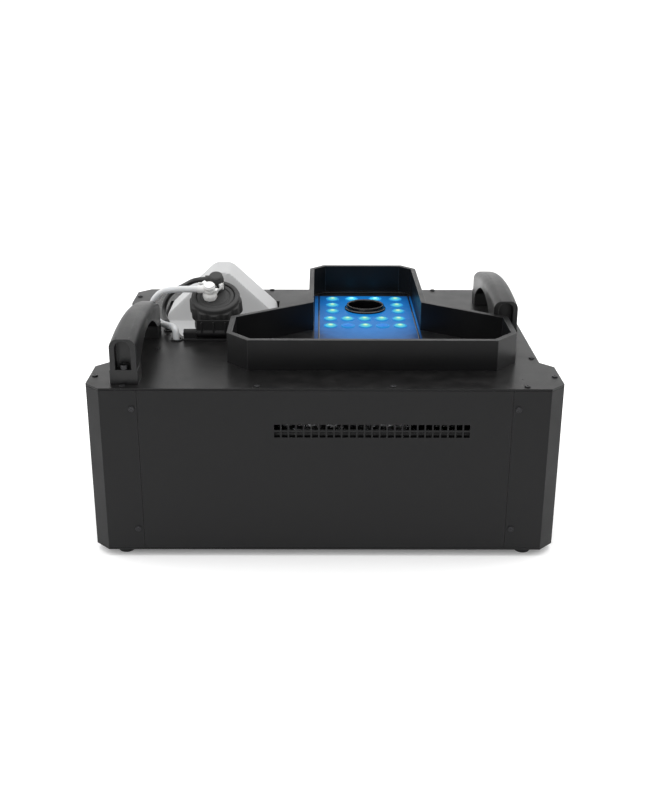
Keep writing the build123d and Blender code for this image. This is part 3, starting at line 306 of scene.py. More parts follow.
def new_group(name: str, inputs: dict[str, tuple[str, object]], outputs: dict[str, str]) -> Tree:
    """Makes a shader node group with its sockets.

    Args:
        name: The group's name.
        inputs: Each input's name with its socket type and first value.
        outputs: Each output's name with its socket type.

    Returns:
        The empty group tree.
    """
    tree = bpy.data.node_groups.new(name, "ShaderNodeTree")
    for label, (kind, value) in inputs.items():
        socket = tree.interface.new_socket(label, in_out="INPUT", socket_type=kind)
        socket.default_value = value
    for label, kind in outputs.items():
        tree.interface.new_socket(label, in_out="OUTPUT", socket_type=kind)
    return tree


def add_node(tree: Tree, kind: str, settings: dict | None = None, **values: object) -> bpy.types.Node:
    """Adds a node, sets its own settings, and sets or links its inputs.

    Args:
        tree: The tree that it goes into.
        kind: The node's type name.
        settings: Attributes of the node itself.
        **values: Inputs by name with _ for a space: a socket to link from, or a value.

    Returns:
        The new node.
    """
    node = tree.nodes.new(kind)
    for label, value in (settings or {}).items():
        setattr(node, label, value)
    for label, value in values.items():
        numbered = label[1:].isdigit()
        socket = node.inputs[int(label[1:])] if numbered else node.inputs[label.replace("_", " ")]
        if isinstance(value, Socket):
            tree.links.new(value, socket)
        else:
            socket.default_value = value
    return node


def math_node(tree: Tree, operation: str, a: object, b: object = 0.0) -> Socket:
    """One sum of two numbers or sockets, as a node's output."""
    return add_node(tree, "ShaderNodeMath", {"operation": operation}, _0=a, _1=b).outputs[0]


def object_place(tree: Tree) -> Socket:
    """The object's own coordinates."""
    return tree.nodes.new("ShaderNodeTexCoord").outputs["Object"]


def noise(tree: Tree, place: Socket, scale: object, detail: float) -> Socket:
    """Noise of a scale at a place, from 0 to 1."""
    return add_node(tree, "ShaderNodeTexNoise", None, Vector=place, Scale=scale, Detail=detail).outputs["Fac"]


def vector_node(tree: Tree, operation: str, a: object, b: object) -> bpy.types.Node:
    """One sum of two vectors."""
    return add_node(tree, "ShaderNodeVectorMath", {"operation": operation}, _0=a, _1=b)


def mixed(tree: Tree, share: Socket, under: object, over: object) -> Socket:
    """Two colours, sockets or values, mixed by a share."""
    node = add_node(tree, "ShaderNodeMix", {"data_type": "RGBA"}, _0=share, _6=under, _7=over)
    return node.outputs[2]


def ramp(tree: Tree, value: Socket, stops: list[tuple]) -> Socket:
    """A colour ramp from (place, colour) stops.

    Args:
        tree: The tree that it goes into.
        value: What it reads, from 0 to 1.
        stops: Two or more places with their colours.

    Returns:
        Its colour output.
    """
    node = add_node(tree, "ShaderNodeValToRGB", None, Fac=value)
    elements = node.color_ramp.elements
    for index, (place, color) in enumerate(stops):
        element = elements[index] if index < 2 else elements.new(place)
        element.position = place
        element.color = (*color, 1.0)
    return node.outputs["Color"]


class SharedEffects:
    """Shader groups that several finishes use, each built once."""

    def __init__(self) -> None:
        """Builds the groups."""
        self.edges = self._edges()
        self.grain = self._grain()
        self.mottle = self._mottle()
        self.dust = self._dust()

    @staticmethod
    def _ends(tree: Tree, **results: Socket) -> Tree:
        """Links the results to the group's outputs of the same name, and gives the tree back."""
        out = tree.nodes.new("NodeGroupOutput")
        for label, result in results.items():
            tree.links.new(result, out.inputs[label])
        return tree

    def _edges(self) -> Tree:
        """Rounded edges: a Bevel normal, and an edge mask where it leaves the true normal, broken by noise,
        for rubbed paint and for painted highlight.
        """
        tree = new_group(
            "SoftEdges",
            {"Radius": (FLOAT, 0.0008), "Break Up": (FLOAT, 400.0)},
            {"Normal": VECTOR, "Wear": FLOAT},
        )
        given = tree.nodes.new("NodeGroupInput").outputs
        bevel = add_node(tree, "ShaderNodeBevel", {"samples": 4}, Radius=given["Radius"]).outputs[0]
        true = tree.nodes.new("ShaderNodeNewGeometry").outputs["Normal"]
        agree = vector_node(tree, "DOT_PRODUCT", bevel, true).outputs["Value"]
        turned = math_node(tree, "MULTIPLY", math_node(tree, "SUBTRACT", 1.0, agree), 6.0)
        broken = math_node(tree, "MULTIPLY", turned, noise(tree, object_place(tree), given["Break Up"], 4.0))
        held = add_node(tree, "ShaderNodeClamp", None, Value=broken).outputs[0]
        return self._ends(tree, Normal=bevel, Wear=held)

    def _grain(self) -> Tree:
        """Fine surface height: stretched noise plus a coarser orange-peel noise."""
        tree = new_group(
            "Grain",
            {"Stretch": (VECTOR, (1.0, 1.0, 1.0)), "Scale": (FLOAT, 900.0), "Peel": (FLOAT, 0.4)},
            {"Height": FLOAT},
        )
        given = tree.nodes.new("NodeGroupInput").outputs
        place = object_place(tree)
        stretched = vector_node(tree, "MULTIPLY", place, given["Stretch"]).outputs[0]
        fine = noise(tree, stretched, given["Scale"], 6.0)
        coarse = noise(tree, place, math_node(tree, "MULTIPLY", given["Scale"], 0.22), 2.0)
        peel = math_node(tree, "MULTIPLY", coarse, given["Peel"])
        return self._ends(tree, Height=math_node(tree, "ADD", fine, peel))

    def _mottle(self) -> Tree:
        """Slow change of colour between two tones, and the mask that it follows."""
        tree = new_group(
            "Mottle",
            {"Light": (COLOR, (1, 1, 1, 1)), "Deep": (COLOR, (0, 0, 0, 1)), "Scale": (FLOAT, 30.0)},
            {"Color": COLOR, "Mask": FLOAT},
        )
        given = tree.nodes.new("NodeGroupInput").outputs
        patches = noise(tree, object_place(tree), given["Scale"], 5.0)
        ranged = add_node(tree, "ShaderNodeMapRange", None, Value=patches, From_Min=0.3, From_Max=0.7)
        spread = ranged.outputs[0]
        return self._ends(tree, Color=mixed(tree, spread, given["Deep"], given["Light"]), Mask=spread)

    def _dust(self) -> Tree:
        """Dust mask: faces that look up, times a patchy noise."""
        tree = new_group("Dust", {"Amount": (FLOAT, 0.1)}, {"Mask": FLOAT})
        given = tree.nodes.new("NodeGroupInput").outputs
        true = tree.nodes.new("ShaderNodeNewGeometry").outputs["Normal"]
        parts = add_node(tree, "ShaderNodeSeparateXYZ", None, Vector=true)
        up = add_node(tree, "ShaderNodeClamp", None, Value=parts.outputs["Z"]).outputs[0]
        patches = math_node(tree, "POWER", noise(tree, object_place(tree), 60.0, 8.0), 2.0)
        patch = math_node(tree, "MULTIPLY", patches, up)
        return self._ends(tree, Mask=math_node(tree, "MULTIPLY", patch, given["Amount"]))


DUST_COLOR = (0.32, 0.31, 0.30)
COAT_ROUGHNESS = 0.25
SUBSURFACE_REACH = (0.010, 0.009, 0.008)
GLOW_SPECULAR = 0.06


def blank_material(name: str) -> tuple[bpy.types.Material, Tree, bpy.types.Node]:
    """A new material with its tree and its shader node."""
    made = bpy.data.materials.new(name)
    made.use_nodes = True
    return made, made.node_tree, made.node_tree.nodes["Principled BSDF"]


def between(tree: Tree, mask: Socket, ends: tuple[float, float]) -> Socket:
    """A value that goes from the first end to the second as a mask goes from 0 to 1."""
    return add_node(tree, "ShaderNodeMapRange", None, Value=mask, To_Min=ends[0], To_Max=ends[1]).outputs[0]


@dataclass(frozen=True)
class Finish:
    """One procedural finish: colour variation, grain, rounded edges lightened for rubbed paint and painted
    highlight, and dust over a Principled shader.

    Attributes:
        name: The material's name.
        color: Its main colour, linear.
        spread: How much darker the deep tone is, as a share.
        roughness: Lowest and highest roughness over the mottle.
        metallic: Metallic value.
        specular: Specular level.
        coat: Coat weight.
        grain: Grain scale for one metre.
        stretch: Grain stretch along X, Y and Z.
        depth: Bump distance in metres.
        strength: Bump strength.
        edge: Rounding radius of the edges in metres.
        wear_and_highlight: How much the edges lighten: rubbed paint, and on the tray wall mostly a painted
            highlight along its lips.
        wear_and_highlight_color: The colour of the lightened edges.
        dust: How much dust lies on faces that look up.
        subsurface: Subsurface weight, for thin plastics.
        transmission: Transmission weight.
        painted_glow: Painted light: a faint even glow on a piece that is no lamp, standing in for light that
            comes through the thin wall from behind and brightening its shaded faces.
    """

    name: str
    color: tuple[float, float, float]
    spread: float = 0.3
    roughness: tuple[float, float] = (0.4, 0.5)
    metallic: float = 0.0
    specular: float = 0.5
    coat: float = 0.0
    grain: float = 900.0
    stretch: tuple[float, float, float] = (1.0, 1.0, 1.0)
    depth: float = 0.0001
    strength: float = 0.3
    edge: float = 0.0007
    wear_and_highlight: float = 0.0
    wear_and_highlight_color: tuple[float, float, float] = (0.25, 0.25, 0.26)
    dust: float = 0.0
    subsurface: float = 0.0
    transmission: float = 0.0
    painted_glow: float = 0.0

    def material(self, effects: SharedEffects) -> bpy.types.Material:
        """Builds the material.

        Args:
            effects: The shared shader groups.

        Returns:
            The material.
        """
        made, tree, shader = blank_material(self.name)
        deep = tuple(c * (1 - self.spread) for c in self.color)
        mottle = add_node(
            tree, "ShaderNodeGroup", {"node_tree": effects.mottle}, Light=(*self.color, 1), Deep=(*deep, 1),
            Scale=26.0,
        )
        edges = add_node(tree, "ShaderNodeGroup", {"node_tree": effects.edges}, Radius=self.edge)
        edge_lightening = math_node(tree, "MULTIPLY", edges.outputs["Wear"], self.wear_and_highlight)
        color = mixed(tree, edge_lightening, mottle.outputs["Color"], (*self.wear_and_highlight_color, 1))
        if self.dust > 0:
            dust = add_node(tree, "ShaderNodeGroup", {"node_tree": effects.dust}, Amount=self.dust)
            color = mixed(tree, dust.outputs["Mask"], color, (*DUST_COLOR, 1))
        grain = add_node(
            tree, "ShaderNodeGroup", {"node_tree": effects.grain}, Stretch=self.stretch, Scale=self.grain,
            Peel=0.4,
        )
        bump = add_node(
            tree, "ShaderNodeBump", None, Height=grain.outputs["Height"], Strength=self.strength,
            Distance=self.depth, Normal=edges.outputs["Normal"],
        )
        tree.links.new(color, shader.inputs["Base Color"])
        tree.links.new(between(tree, mottle.outputs["Mask"], self.roughness), shader.inputs["Roughness"])
        tree.links.new(bump.outputs[0], shader.inputs["Normal"])
        for label, value in (
            ("Metallic", self.metallic),
            ("Specular IOR Level", self.specular),
            ("Coat Weight", self.coat),
            ("Coat Roughness", COAT_ROUGHNESS),
            ("Subsurface Weight", self.subsurface),
            ("Subsurface Radius", SUBSURFACE_REACH),
            ("Transmission Weight", self.transmission),
            # The emission is painted light: a glow on pieces that are no lamp.
            ("Emission Color", (1.0, 1.0, 1.0, 1)),
            ("Emission Strength", self.painted_glow),
        ):
            shader.inputs[label].default_value = value
        return made


POWDER_COAT = Finish(
    "powder_coat", (0.0080, 0.0080, 0.0084), spread=0.16, roughness=(0.46, 0.56), specular=0.20, grain=2600.0,
    stretch=(1.0, 1.0, 0.12), depth=0.00008, strength=0.45, edge=0.0008, wear_and_highlight=0.10, dust=0.03,
)
TOP_COAT = Finish(
    "top_coat", (0.0035, 0.0035, 0.0037), spread=0.2, roughness=(0.27, 0.34), specular=0.18, grain=2200.0,
    depth=0.00005, strength=0.35, edge=0.0008, wear_and_highlight=0.12, dust=0.06,
)
# The tray wall's strong edge lightening is mostly painted highlight along its lips.
TRAY_COAT = Finish(
    "tray_coat", (0.0040, 0.0040, 0.0044), spread=0.2, roughness=(0.30, 0.40), specular=0.20, grain=2200.0,
    depth=0.00006, strength=0.35, edge=0.0009, wear_and_highlight=0.35, dust=0.03,
)
GRIP_PLASTIC = Finish(
    "grip_plastic", (0.0055, 0.0055, 0.0058), spread=0.2, roughness=(0.30, 0.42), specular=0.36, grain=1500.0,
    depth=0.00015, strength=0.5, edge=0.0012, wear_and_highlight=0.06, dust=0.03,
)
BLACK_PLASTIC = Finish(
    "black_plastic", (0.0035, 0.0035, 0.0037), spread=0.25, roughness=(0.30, 0.42), specular=0.17,
    grain=1800.0, depth=0.00008, strength=0.35, edge=0.0004, wear_and_highlight=0.05,
)
GLOSS_PLASTIC = Finish(
    "gloss_plastic", (0.002, 0.002, 0.0023), spread=0.2, roughness=(0.16, 0.24), specular=0.3, grain=900.0,
    depth=0.00002, strength=0.2, edge=0.0004, coat=0.1,
)
SOFT_RUBBER = Finish(
    "soft_rubber", (0.014, 0.014, 0.014), spread=0.35, roughness=(0.62, 0.78), specular=0.3, grain=1400.0,
    depth=0.0002, strength=0.5, edge=0.0005, dust=0.05,
)
CABLE_JACKET = Finish(
    "cable_jacket", (0.010, 0.010, 0.0105), spread=0.3, roughness=(0.35, 0.5), grain=1200.0, depth=0.00008,
    strength=0.4, edge=0.0002,
)
# The bottle's faint even emission is painted light that brightens its shaded faces.
BOTTLE_PLASTIC = Finish(
    "bottle_plastic", (0.25, 0.253, 0.256), spread=0.06, roughness=(0.42, 0.55), specular=0.3, grain=500.0,
    depth=0.0002, strength=0.35, edge=0.0006, wear_and_highlight_color=(0.8, 0.8, 0.8), subsurface=0.3, painted_glow=0.22,
)
HOSE_SILICONE = Finish(
    "hose_silicone", (0.66, 0.67, 0.68), spread=0.06, roughness=(0.3, 0.42), specular=0.45, grain=700.0,
    depth=0.0001, strength=0.25, edge=0.0003, subsurface=0.45, transmission=0.12,
)
WHITE_NYLON = Finish(
    "white_nylon", (0.72, 0.72, 0.71), spread=0.08, roughness=(0.35, 0.5), grain=900.0, depth=0.0001,
    strength=0.3, edge=0.0003, subsurface=0.2,
)
BARE_ALUMINIUM = Finish(
    "bare_aluminium", (0.62, 0.63, 0.65), spread=0.2, roughness=(0.28, 0.45), metallic=1.0, grain=1500.0,
    stretch=(1.0, 0.08, 1.0), depth=0.00005, strength=0.4, edge=0.0005,
)
CRINKLED_FOIL = Finish(
    "crinkled_foil", (0.80, 0.81, 0.83), spread=0.25, roughness=(0.14, 0.30), metallic=1.0, grain=120.0,
    depth=0.003, strength=0.8, edge=0.0004,
)
ZINC_PLATE = Finish(
    "zinc_plate", (0.55, 0.56, 0.58), spread=0.3, roughness=(0.25, 0.42), metallic=1.0, grain=700.0,
    depth=0.00005, strength=0.3, edge=0.0004,
)
BLACK_ZINC = Finish(
    "black_zinc", (0.035, 0.035, 0.037), spread=0.35, roughness=(0.28, 0.42), metallic=0.85, grain=900.0,
    depth=0.00004, strength=0.3, edge=0.0003, wear_and_highlight=0.35,
)
TURNED_BRASS = Finish(
    "turned_brass", (0.70, 0.50, 0.20), spread=0.25, roughness=(0.2, 0.34), metallic=1.0, grain=1200.0,
    stretch=(0.1, 0.1, 1.0), depth=0.00004, strength=0.3, edge=0.0004,
)
SOLDER_MASK = Finish(
    "solder_mask", (0.012, 0.11, 0.04), spread=0.6, roughness=(0.22, 0.4), grain=350.0, depth=0.00005,
    strength=0.4, edge=0.0003, coat=0.2,
)
WINDOW_GLASS = Finish(
    "window_glass", (0.004, 0.006, 0.012), spread=0.3, roughness=(0.05, 0.1), grain=300.0, depth=0.00001,
    strength=0.1, edge=0.0003, coat=0.6,
)


@dataclass(frozen=True)
class GlowFinish:
    """A glowing plastic, whose glow fades outwards over its own texture place or over the object. On lamps it
    is their own light; on the lamp cover and the unlit lenses it is painted light.

    Attributes:
        name: The material's name.
        color: The plastic's colour when it is dark.
        stops: Glow colours from the middle out.
        strength: Emission strength.
        centre: The middle of the glow, in the frame's metres, or None to read the piece's texture places.
        reach: How far the glow goes along X and Y.
        roughness: Roughness, lowest and highest.
    """

    name: str
    color: tuple[float, float, float]
    stops: tuple[tuple[float, tuple[float, float, float]], ...]
    strength: float
    centre: tuple[float, float] | None = None
    reach: tuple[float, float] = (1.0, 1.0)
    roughness: tuple[float, float] = (0.15, 0.3)

    def material(self, effects: SharedEffects) -> bpy.types.Material:
        """Builds the material: the distance from the middle picks the glow colour, with a little mottle.

        Args:
            effects: The shared shader groups.

        Returns:
            The material.
        """
        made, tree, shader = blank_material(self.name)
        place = tree.nodes.new("ShaderNodeTexCoord")
        source = place.outputs["UV"] if self.centre is None else place.outputs["Object"]
        middle = (0.5, 0.5, 0.0) if self.centre is None else (*self.centre, 0.0)
        shifted = vector_node(tree, "SUBTRACT", source, middle).outputs[0]
        shares = (1 / self.reach[0], 1 / self.reach[1], 0.0)
        scaled = vector_node(tree, "MULTIPLY", shifted, shares).outputs[0]
        away = add_node(tree, "ShaderNodeVectorMath", {"operation": "LENGTH"}, _0=scaled)
        mottle = add_node(
            tree, "ShaderNodeGroup", {"node_tree": effects.mottle}, Light=(*self.color, 1),
            Deep=(*(c * 0.7 for c in self.color), 1), Scale=90.0,
        )
        wobble = math_node(tree, "MULTIPLY", mottle.outputs["Mask"], 0.08)
        glow = ramp(tree, math_node(tree, "ADD", away.outputs["Value"], wobble), list(self.stops))
        tree.links.new(glow, shader.inputs["Emission Color"])
        tree.links.new(mottle.outputs["Color"], shader.inputs["Base Color"])
        tree.links.new(between(tree, mottle.outputs["Mask"], self.roughness), shader.inputs["Roughness"])
        shader.inputs["Emission Strength"].default_value = self.strength
        shader.inputs["Specular IOR Level"].default_value = GLOW_SPECULAR
        return made


LIT_LENS = GlowFinish(
    "lit_lens", (0.03, 0.10, 0.12),
    ((0.0, (0.86, 0.88, 0.40)), (0.24, (0.50, 0.76, 0.42)), (0.50, (0.09, 0.52, 0.46)),
     (0.80, (0.03, 0.40, 0.56)), (1.0, (0.008, 0.20, 0.54))),
    strength=1.0, reach=(0.44, 0.56),
)
# The unlit lenses glow: painted light, the blue of the lit lamps round them.
UNLIT_LENS = GlowFinish(
    "unlit_lens", (0.01, 0.05, 0.16),
    ((0.0, (0.014, 0.19, 0.58)), (0.75, (0.010, 0.16, 0.50)), (1.0, (0.02, 0.24, 0.52))),
    strength=1.0, reach=(0.5, 0.5),
)
DIGIT_GLOW = GlowFinish(
    "digit_glow", (0.1, 0.3, 0.6), ((0.0, (0.35, 0.75, 1.0)), (1.0, (0.25, 0.6, 1.0))), strength=1.0,
    centre=(0.0, 0.0), reach=(1.0, 1.0),
)


# The finish of every node that keeps its CAD shape, but for the lit lamp cover.
NODE_FINISHES: dict[Finish, str] = {
    WHITE_NYLON: "hose_elbow",
    BLACK_PLASTIC: "cable_gland fan_frame data_input data_output mains_inlet switch_frame",
    POWDER_COAT: (
        "bottle_well clip_bracket cap_clip base_pan front_panel rear_panel side_panel_left "
        "side_panel_right front_corner_posts rear_corner_posts"
    ),
    ZINC_PLATE: (
        "clip_pin heater_rods thermal_cutouts heater_brackets pump_body pump_piston pump_bracket "
        "feed_pipe fan_guard latch_button"
    ),
    SOFT_RUBBER: "plate_grommets menu_button_1 menu_button_2 menu_button_3 menu_button_4",
    TRAY_COAT: "tray_wall",
    SOLDER_MASK: "lamp_board power_board control_board",
    BARE_ALUMINIUM: "lamp_heat_sink heater_block power_supply",
    TURNED_BRASS: "fog_jet",
    CABLE_JACKET: "wiring_loom",
    TOP_COAT: "top_plate",
    GRIP_PLASTIC: "handle_left handle_right",
    BLACK_ZINC: "case_screws handle_bolts",
    GLOSS_PLASTIC: "control_fascia switch_rocker",
}


class Wardrobe:
    """Gives finishes to CAD nodes and to new pieces."""

    def __init__(self) -> None:
        """Builds the shared shader groups."""
        self.effects = SharedEffects()

    def dress_nodes(self, finish: Finish | GlowFinish, *nodes: str) -> None:
        """Gives CAD nodes a finish.

        Args:
            finish: The finish.
            *nodes: The nodes' names.
        """
        made = bpy.data.materials.get(finish.name) or finish.material(self.effects)
        for node in nodes:
            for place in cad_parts[node].material_slots:
                place.material = made
            log.info("node %s wears %s", node, finish.name)

    def dress_piece(
        self, piece: bpy.types.Object, finish: Finish | GlowFinish, slot: Slot, body: Body, *replaced: str
    ) -> bpy.types.Object:
        """Gives a new piece its finish and its body, and hides the nodes that it stands for.

        Args:
            piece: The piece, in its place.
            finish: Its finish.
            slot: The record's slot for the piece; not used.
            body: The body that it rides on.
            *replaced: The CAD nodes that it stands for.

        Returns:
            The same piece.
        """
        made = bpy.data.materials.get(finish.name) or finish.material(self.effects)
        piece.data.materials.clear()
        piece.data.materials.append(made)
        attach(piece, body.value)
        if replaced:
            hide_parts(*replaced)
        log.info("piece %s rides on %s", piece.name, body.value)
        return piece


# ------------------------------------------------------------------ stage


@dataclass
class Stage:
    """The floor, the light and the camera.

    Attributes:
        eye: The camera's place, in metres.
        pitch: How far it looks down, in degrees.
        yaw: How far it looks to the right, in degrees.
        roll: How far it leans, in degrees.
        lens: Focal length in millimetres on a 36 mm sensor.
        floor_half: Half the floor's width, and how far it comes forward, in metres.
        backdrop: Where the floor starts to curve up.
        cove: Radius of that curve.
        paper_glow: Emission of the floor's paper.
        sky: Strength of the white world.
    """

    eye: tuple[float, float, float] = (-0.0058, -1.2915, 0.5991)
    pitch: float = 20.597
    yaw: float = 0.290
    roll: float = 0.217
    lens: float = 50.2
    floor_half: float = 6.0
    backdrop: float = 3.2
    cove: float = 1.2
    paper_glow: float = 0.12
    sky: float = 0.85

    def camera(self) -> None:
        """Makes the camera: forward from yaw and pitch, right level and turned by the roll."""
        pitch, yaw, roll = (math.radians(v) for v in (self.pitch, self.yaw, self.roll))
        forward = Vector((math.sin(yaw) * math.cos(pitch), math.cos(yaw) * math.cos(pitch), -math.sin(pitch)))
        right = Vector((math.cos(yaw), -math.sin(yaw), 0.0))
        up = right.cross(forward)
        turned = right * math.cos(roll) + up * math.sin(roll)
        above = up * math.cos(roll) - right * math.sin(roll)
        data = bpy.data.cameras.new("camera")
        data.lens = self.lens
        data.sensor_width = 36.0
        camera = bpy.data.objects.new("camera", data)
        bpy.context.scene.collection.objects.link(camera)
        matrix = Matrix((turned, above, -forward)).transposed().to_4x4()
        matrix.translation = Vector(self.eye)
        camera.matrix_world = matrix
        bpy.context.scene.camera = camera

    def floor(self) -> None:
        """Makes a pale floor that curves up into a backdrop: flat, then a quarter circle, then upright."""
        flat = np.linspace(-self.floor_half, self.backdrop, 24)
        turn = np.linspace(0, np.pi / 2, 20)[1:]
        rise = np.linspace(self.cove, self.floor_half, 12)[1:]
        wall = np.full(len(rise), self.backdrop + self.cove)
        along = np.concatenate([flat, self.backdrop + self.cove * np.sin(turn), wall])
        up = np.concatenate([0 * flat, self.cove * (1 - np.cos(turn)), rise])
        across = np.linspace(-self.floor_half, self.floor_half, 16)
        points = np.stack(np.broadcast_arrays(across[None, :], along[:, None], up[:, None]), -1)
        quads = grid_quads(len(along), len(across), False, False)
        floor = make_piece("floor", Surface(points.reshape(-1, 3), quads))
        paper, _, shader = blank_material("floor_paper")
        for label, value in (
            ("Base Color", (0.98, 0.98, 0.98, 1)),
            ("Roughness", 0.9),
            ("Specular IOR Level", 0.1),
            ("Emission Color", (1.0, 1.0, 1.0, 1)),
            ("Emission Strength", self.paper_glow),
        ):
            shader.inputs[label].default_value = value
        floor.data.materials.append(paper)

    def lights(self) -> None:
        """Makes a white world and large soft panels above, in front and at both sides."""
        scene = bpy.context.scene
        world = bpy.data.worlds.new("studio")
        world.use_nodes = True
        sky = world.node_tree.nodes["Background"]
        sky.inputs["Color"].default_value = (1.0, 1.0, 1.0, 1)
        sky.inputs["Strength"].default_value = self.sky
        scene.world = world
        scene.view_settings.view_transform = "Standard"
        panels = (
            ("over", (0.0, 0.3, 2.2), (0.0, 0.0, 0.0), 2.4, 34.0),
            ("front", (-0.9, -2.4, 1.5), (0.0, 0.0, 0.1), 1.6, 12.0),
            ("left", (-2.0, 0.2, 0.9), (0.0, 0.0, 0.15), 1.0, 9.0),
            ("right", (2.0, 0.2, 0.9), (0.0, 0.0, 0.15), 1.0, 9.0),
        )
        for name, place, aim, size, power in panels:
            data = bpy.data.lights.new(name, "AREA")
            data.size = size
            data.energy = power
            lamp = bpy.data.objects.new(name, data)
            lamp.location = place
            lamp.rotation_euler = (Vector(aim) - Vector(place)).to_track_quat("-Z", "Y").to_euler()
            scene.collection.objects.link(lamp)

    def build(self) -> None:
        """Makes the camera, then the floor and the light."""
        self.camera()
        self.floor()
        self.lights()


# ------------------------------------------------------------------ fluid lines


@dataclass
class FluidLine:
    """A free hose or cable from the cap down through the top plate: a NURBS line with a round section.

    Attributes:
        name: The piece's name.
        node: The CAD tube that it replaces.
        diameter: Outside diameter in metres.
        length: Real length in metres; not used.
        route: Its points: across from the middle, behind the front face and above the top plate, in mm.
        finish: Its finish.
        slot: Its record slot.
        stiffness: How stiff it is; not used.
    """

    name: str
    node: str
    diameter: float
    length: float
    route: list[tuple[float, float, float]]
    finish: Finish
    slot: Slot
    stiffness: str = "medium"
    half_depth: float = 200.0
    plate_top: float = 198.0
    tail_depth: float = 130.0

    def points(self) -> list[tuple[float, float, float]]:
        """The route in the frame's metres, with the straight tail below the plate at its end."""
        tail = self.route[-1]
        route = [*self.route, (tail[0], tail[1], -self.tail_depth)]
        return [(x * MM, (y - self.half_depth) * MM, (self.plate_top + z) * MM) for x, y, z in route]

    def build(self, wardrobe: Wardrobe) -> bpy.types.Object:
        """Args:
            wardrobe: Gives it its finish.

        Returns:
            The curve object.
        """
        points = self.points()
        curve = bpy.data.curves.new(self.name, "CURVE")
        curve.dimensions = "3D"
        spline = curve.splines.new("NURBS")
        spline.points.add(len(points) - 1)
        spline.points.foreach_set("co", np.array([(*p, 1.0) for p in points], np.float32).ravel())
        spline.order_u = 3
        spline.use_endpoint_u = True
        spline.resolution_u = 12
        curve.bevel_depth = self.diameter / 2
        curve.bevel_resolution = 6
        curve.use_fill_caps = True
        piece = bpy.data.objects.new(self.name, curve)
        bpy.context.scene.collection.objects.link(piece)
        wardrobe.dress_piece(piece, self.finish, self.slot, Body.BOTTLE, self.node)
        return piece


SUCTION_HOSE = FluidLine(
    "silicone_hose", "suction_hose", 8 * MM, 0.278,
    [
        (-152, 193.8, 55.5), (-164, 193.8, 55.5), (-179, 198, 54), (-194, 204, 51), (-206, 209, 41),
        (-211.5, 212, 28), (-208, 210, 15), (-198, 202, 9.5), (-187.5, 189, 11.5), (-180, 177, 13),
        (-176, 168.5, 7.5),
    ],
    HOSE_SILICONE, Slot.HOSE,
)
FLOAT_CABLE = FluidLine(
    "float_switch_cable", "float_cable", 6.5 * MM, 0.253,
    [
        (-144, 208.8, 63.6), (-156, 208.8, 63.6), (-171, 219, 53), (-187, 231, 43), (-197, 238, 30),
        (-201, 236, 16), (-196.5, 221, 10), (-190.5, 207, 8.5),
    ],
    CABLE_JACKET, Slot.RUBBER,
)


# ------------------------------------------------------------------ bottle


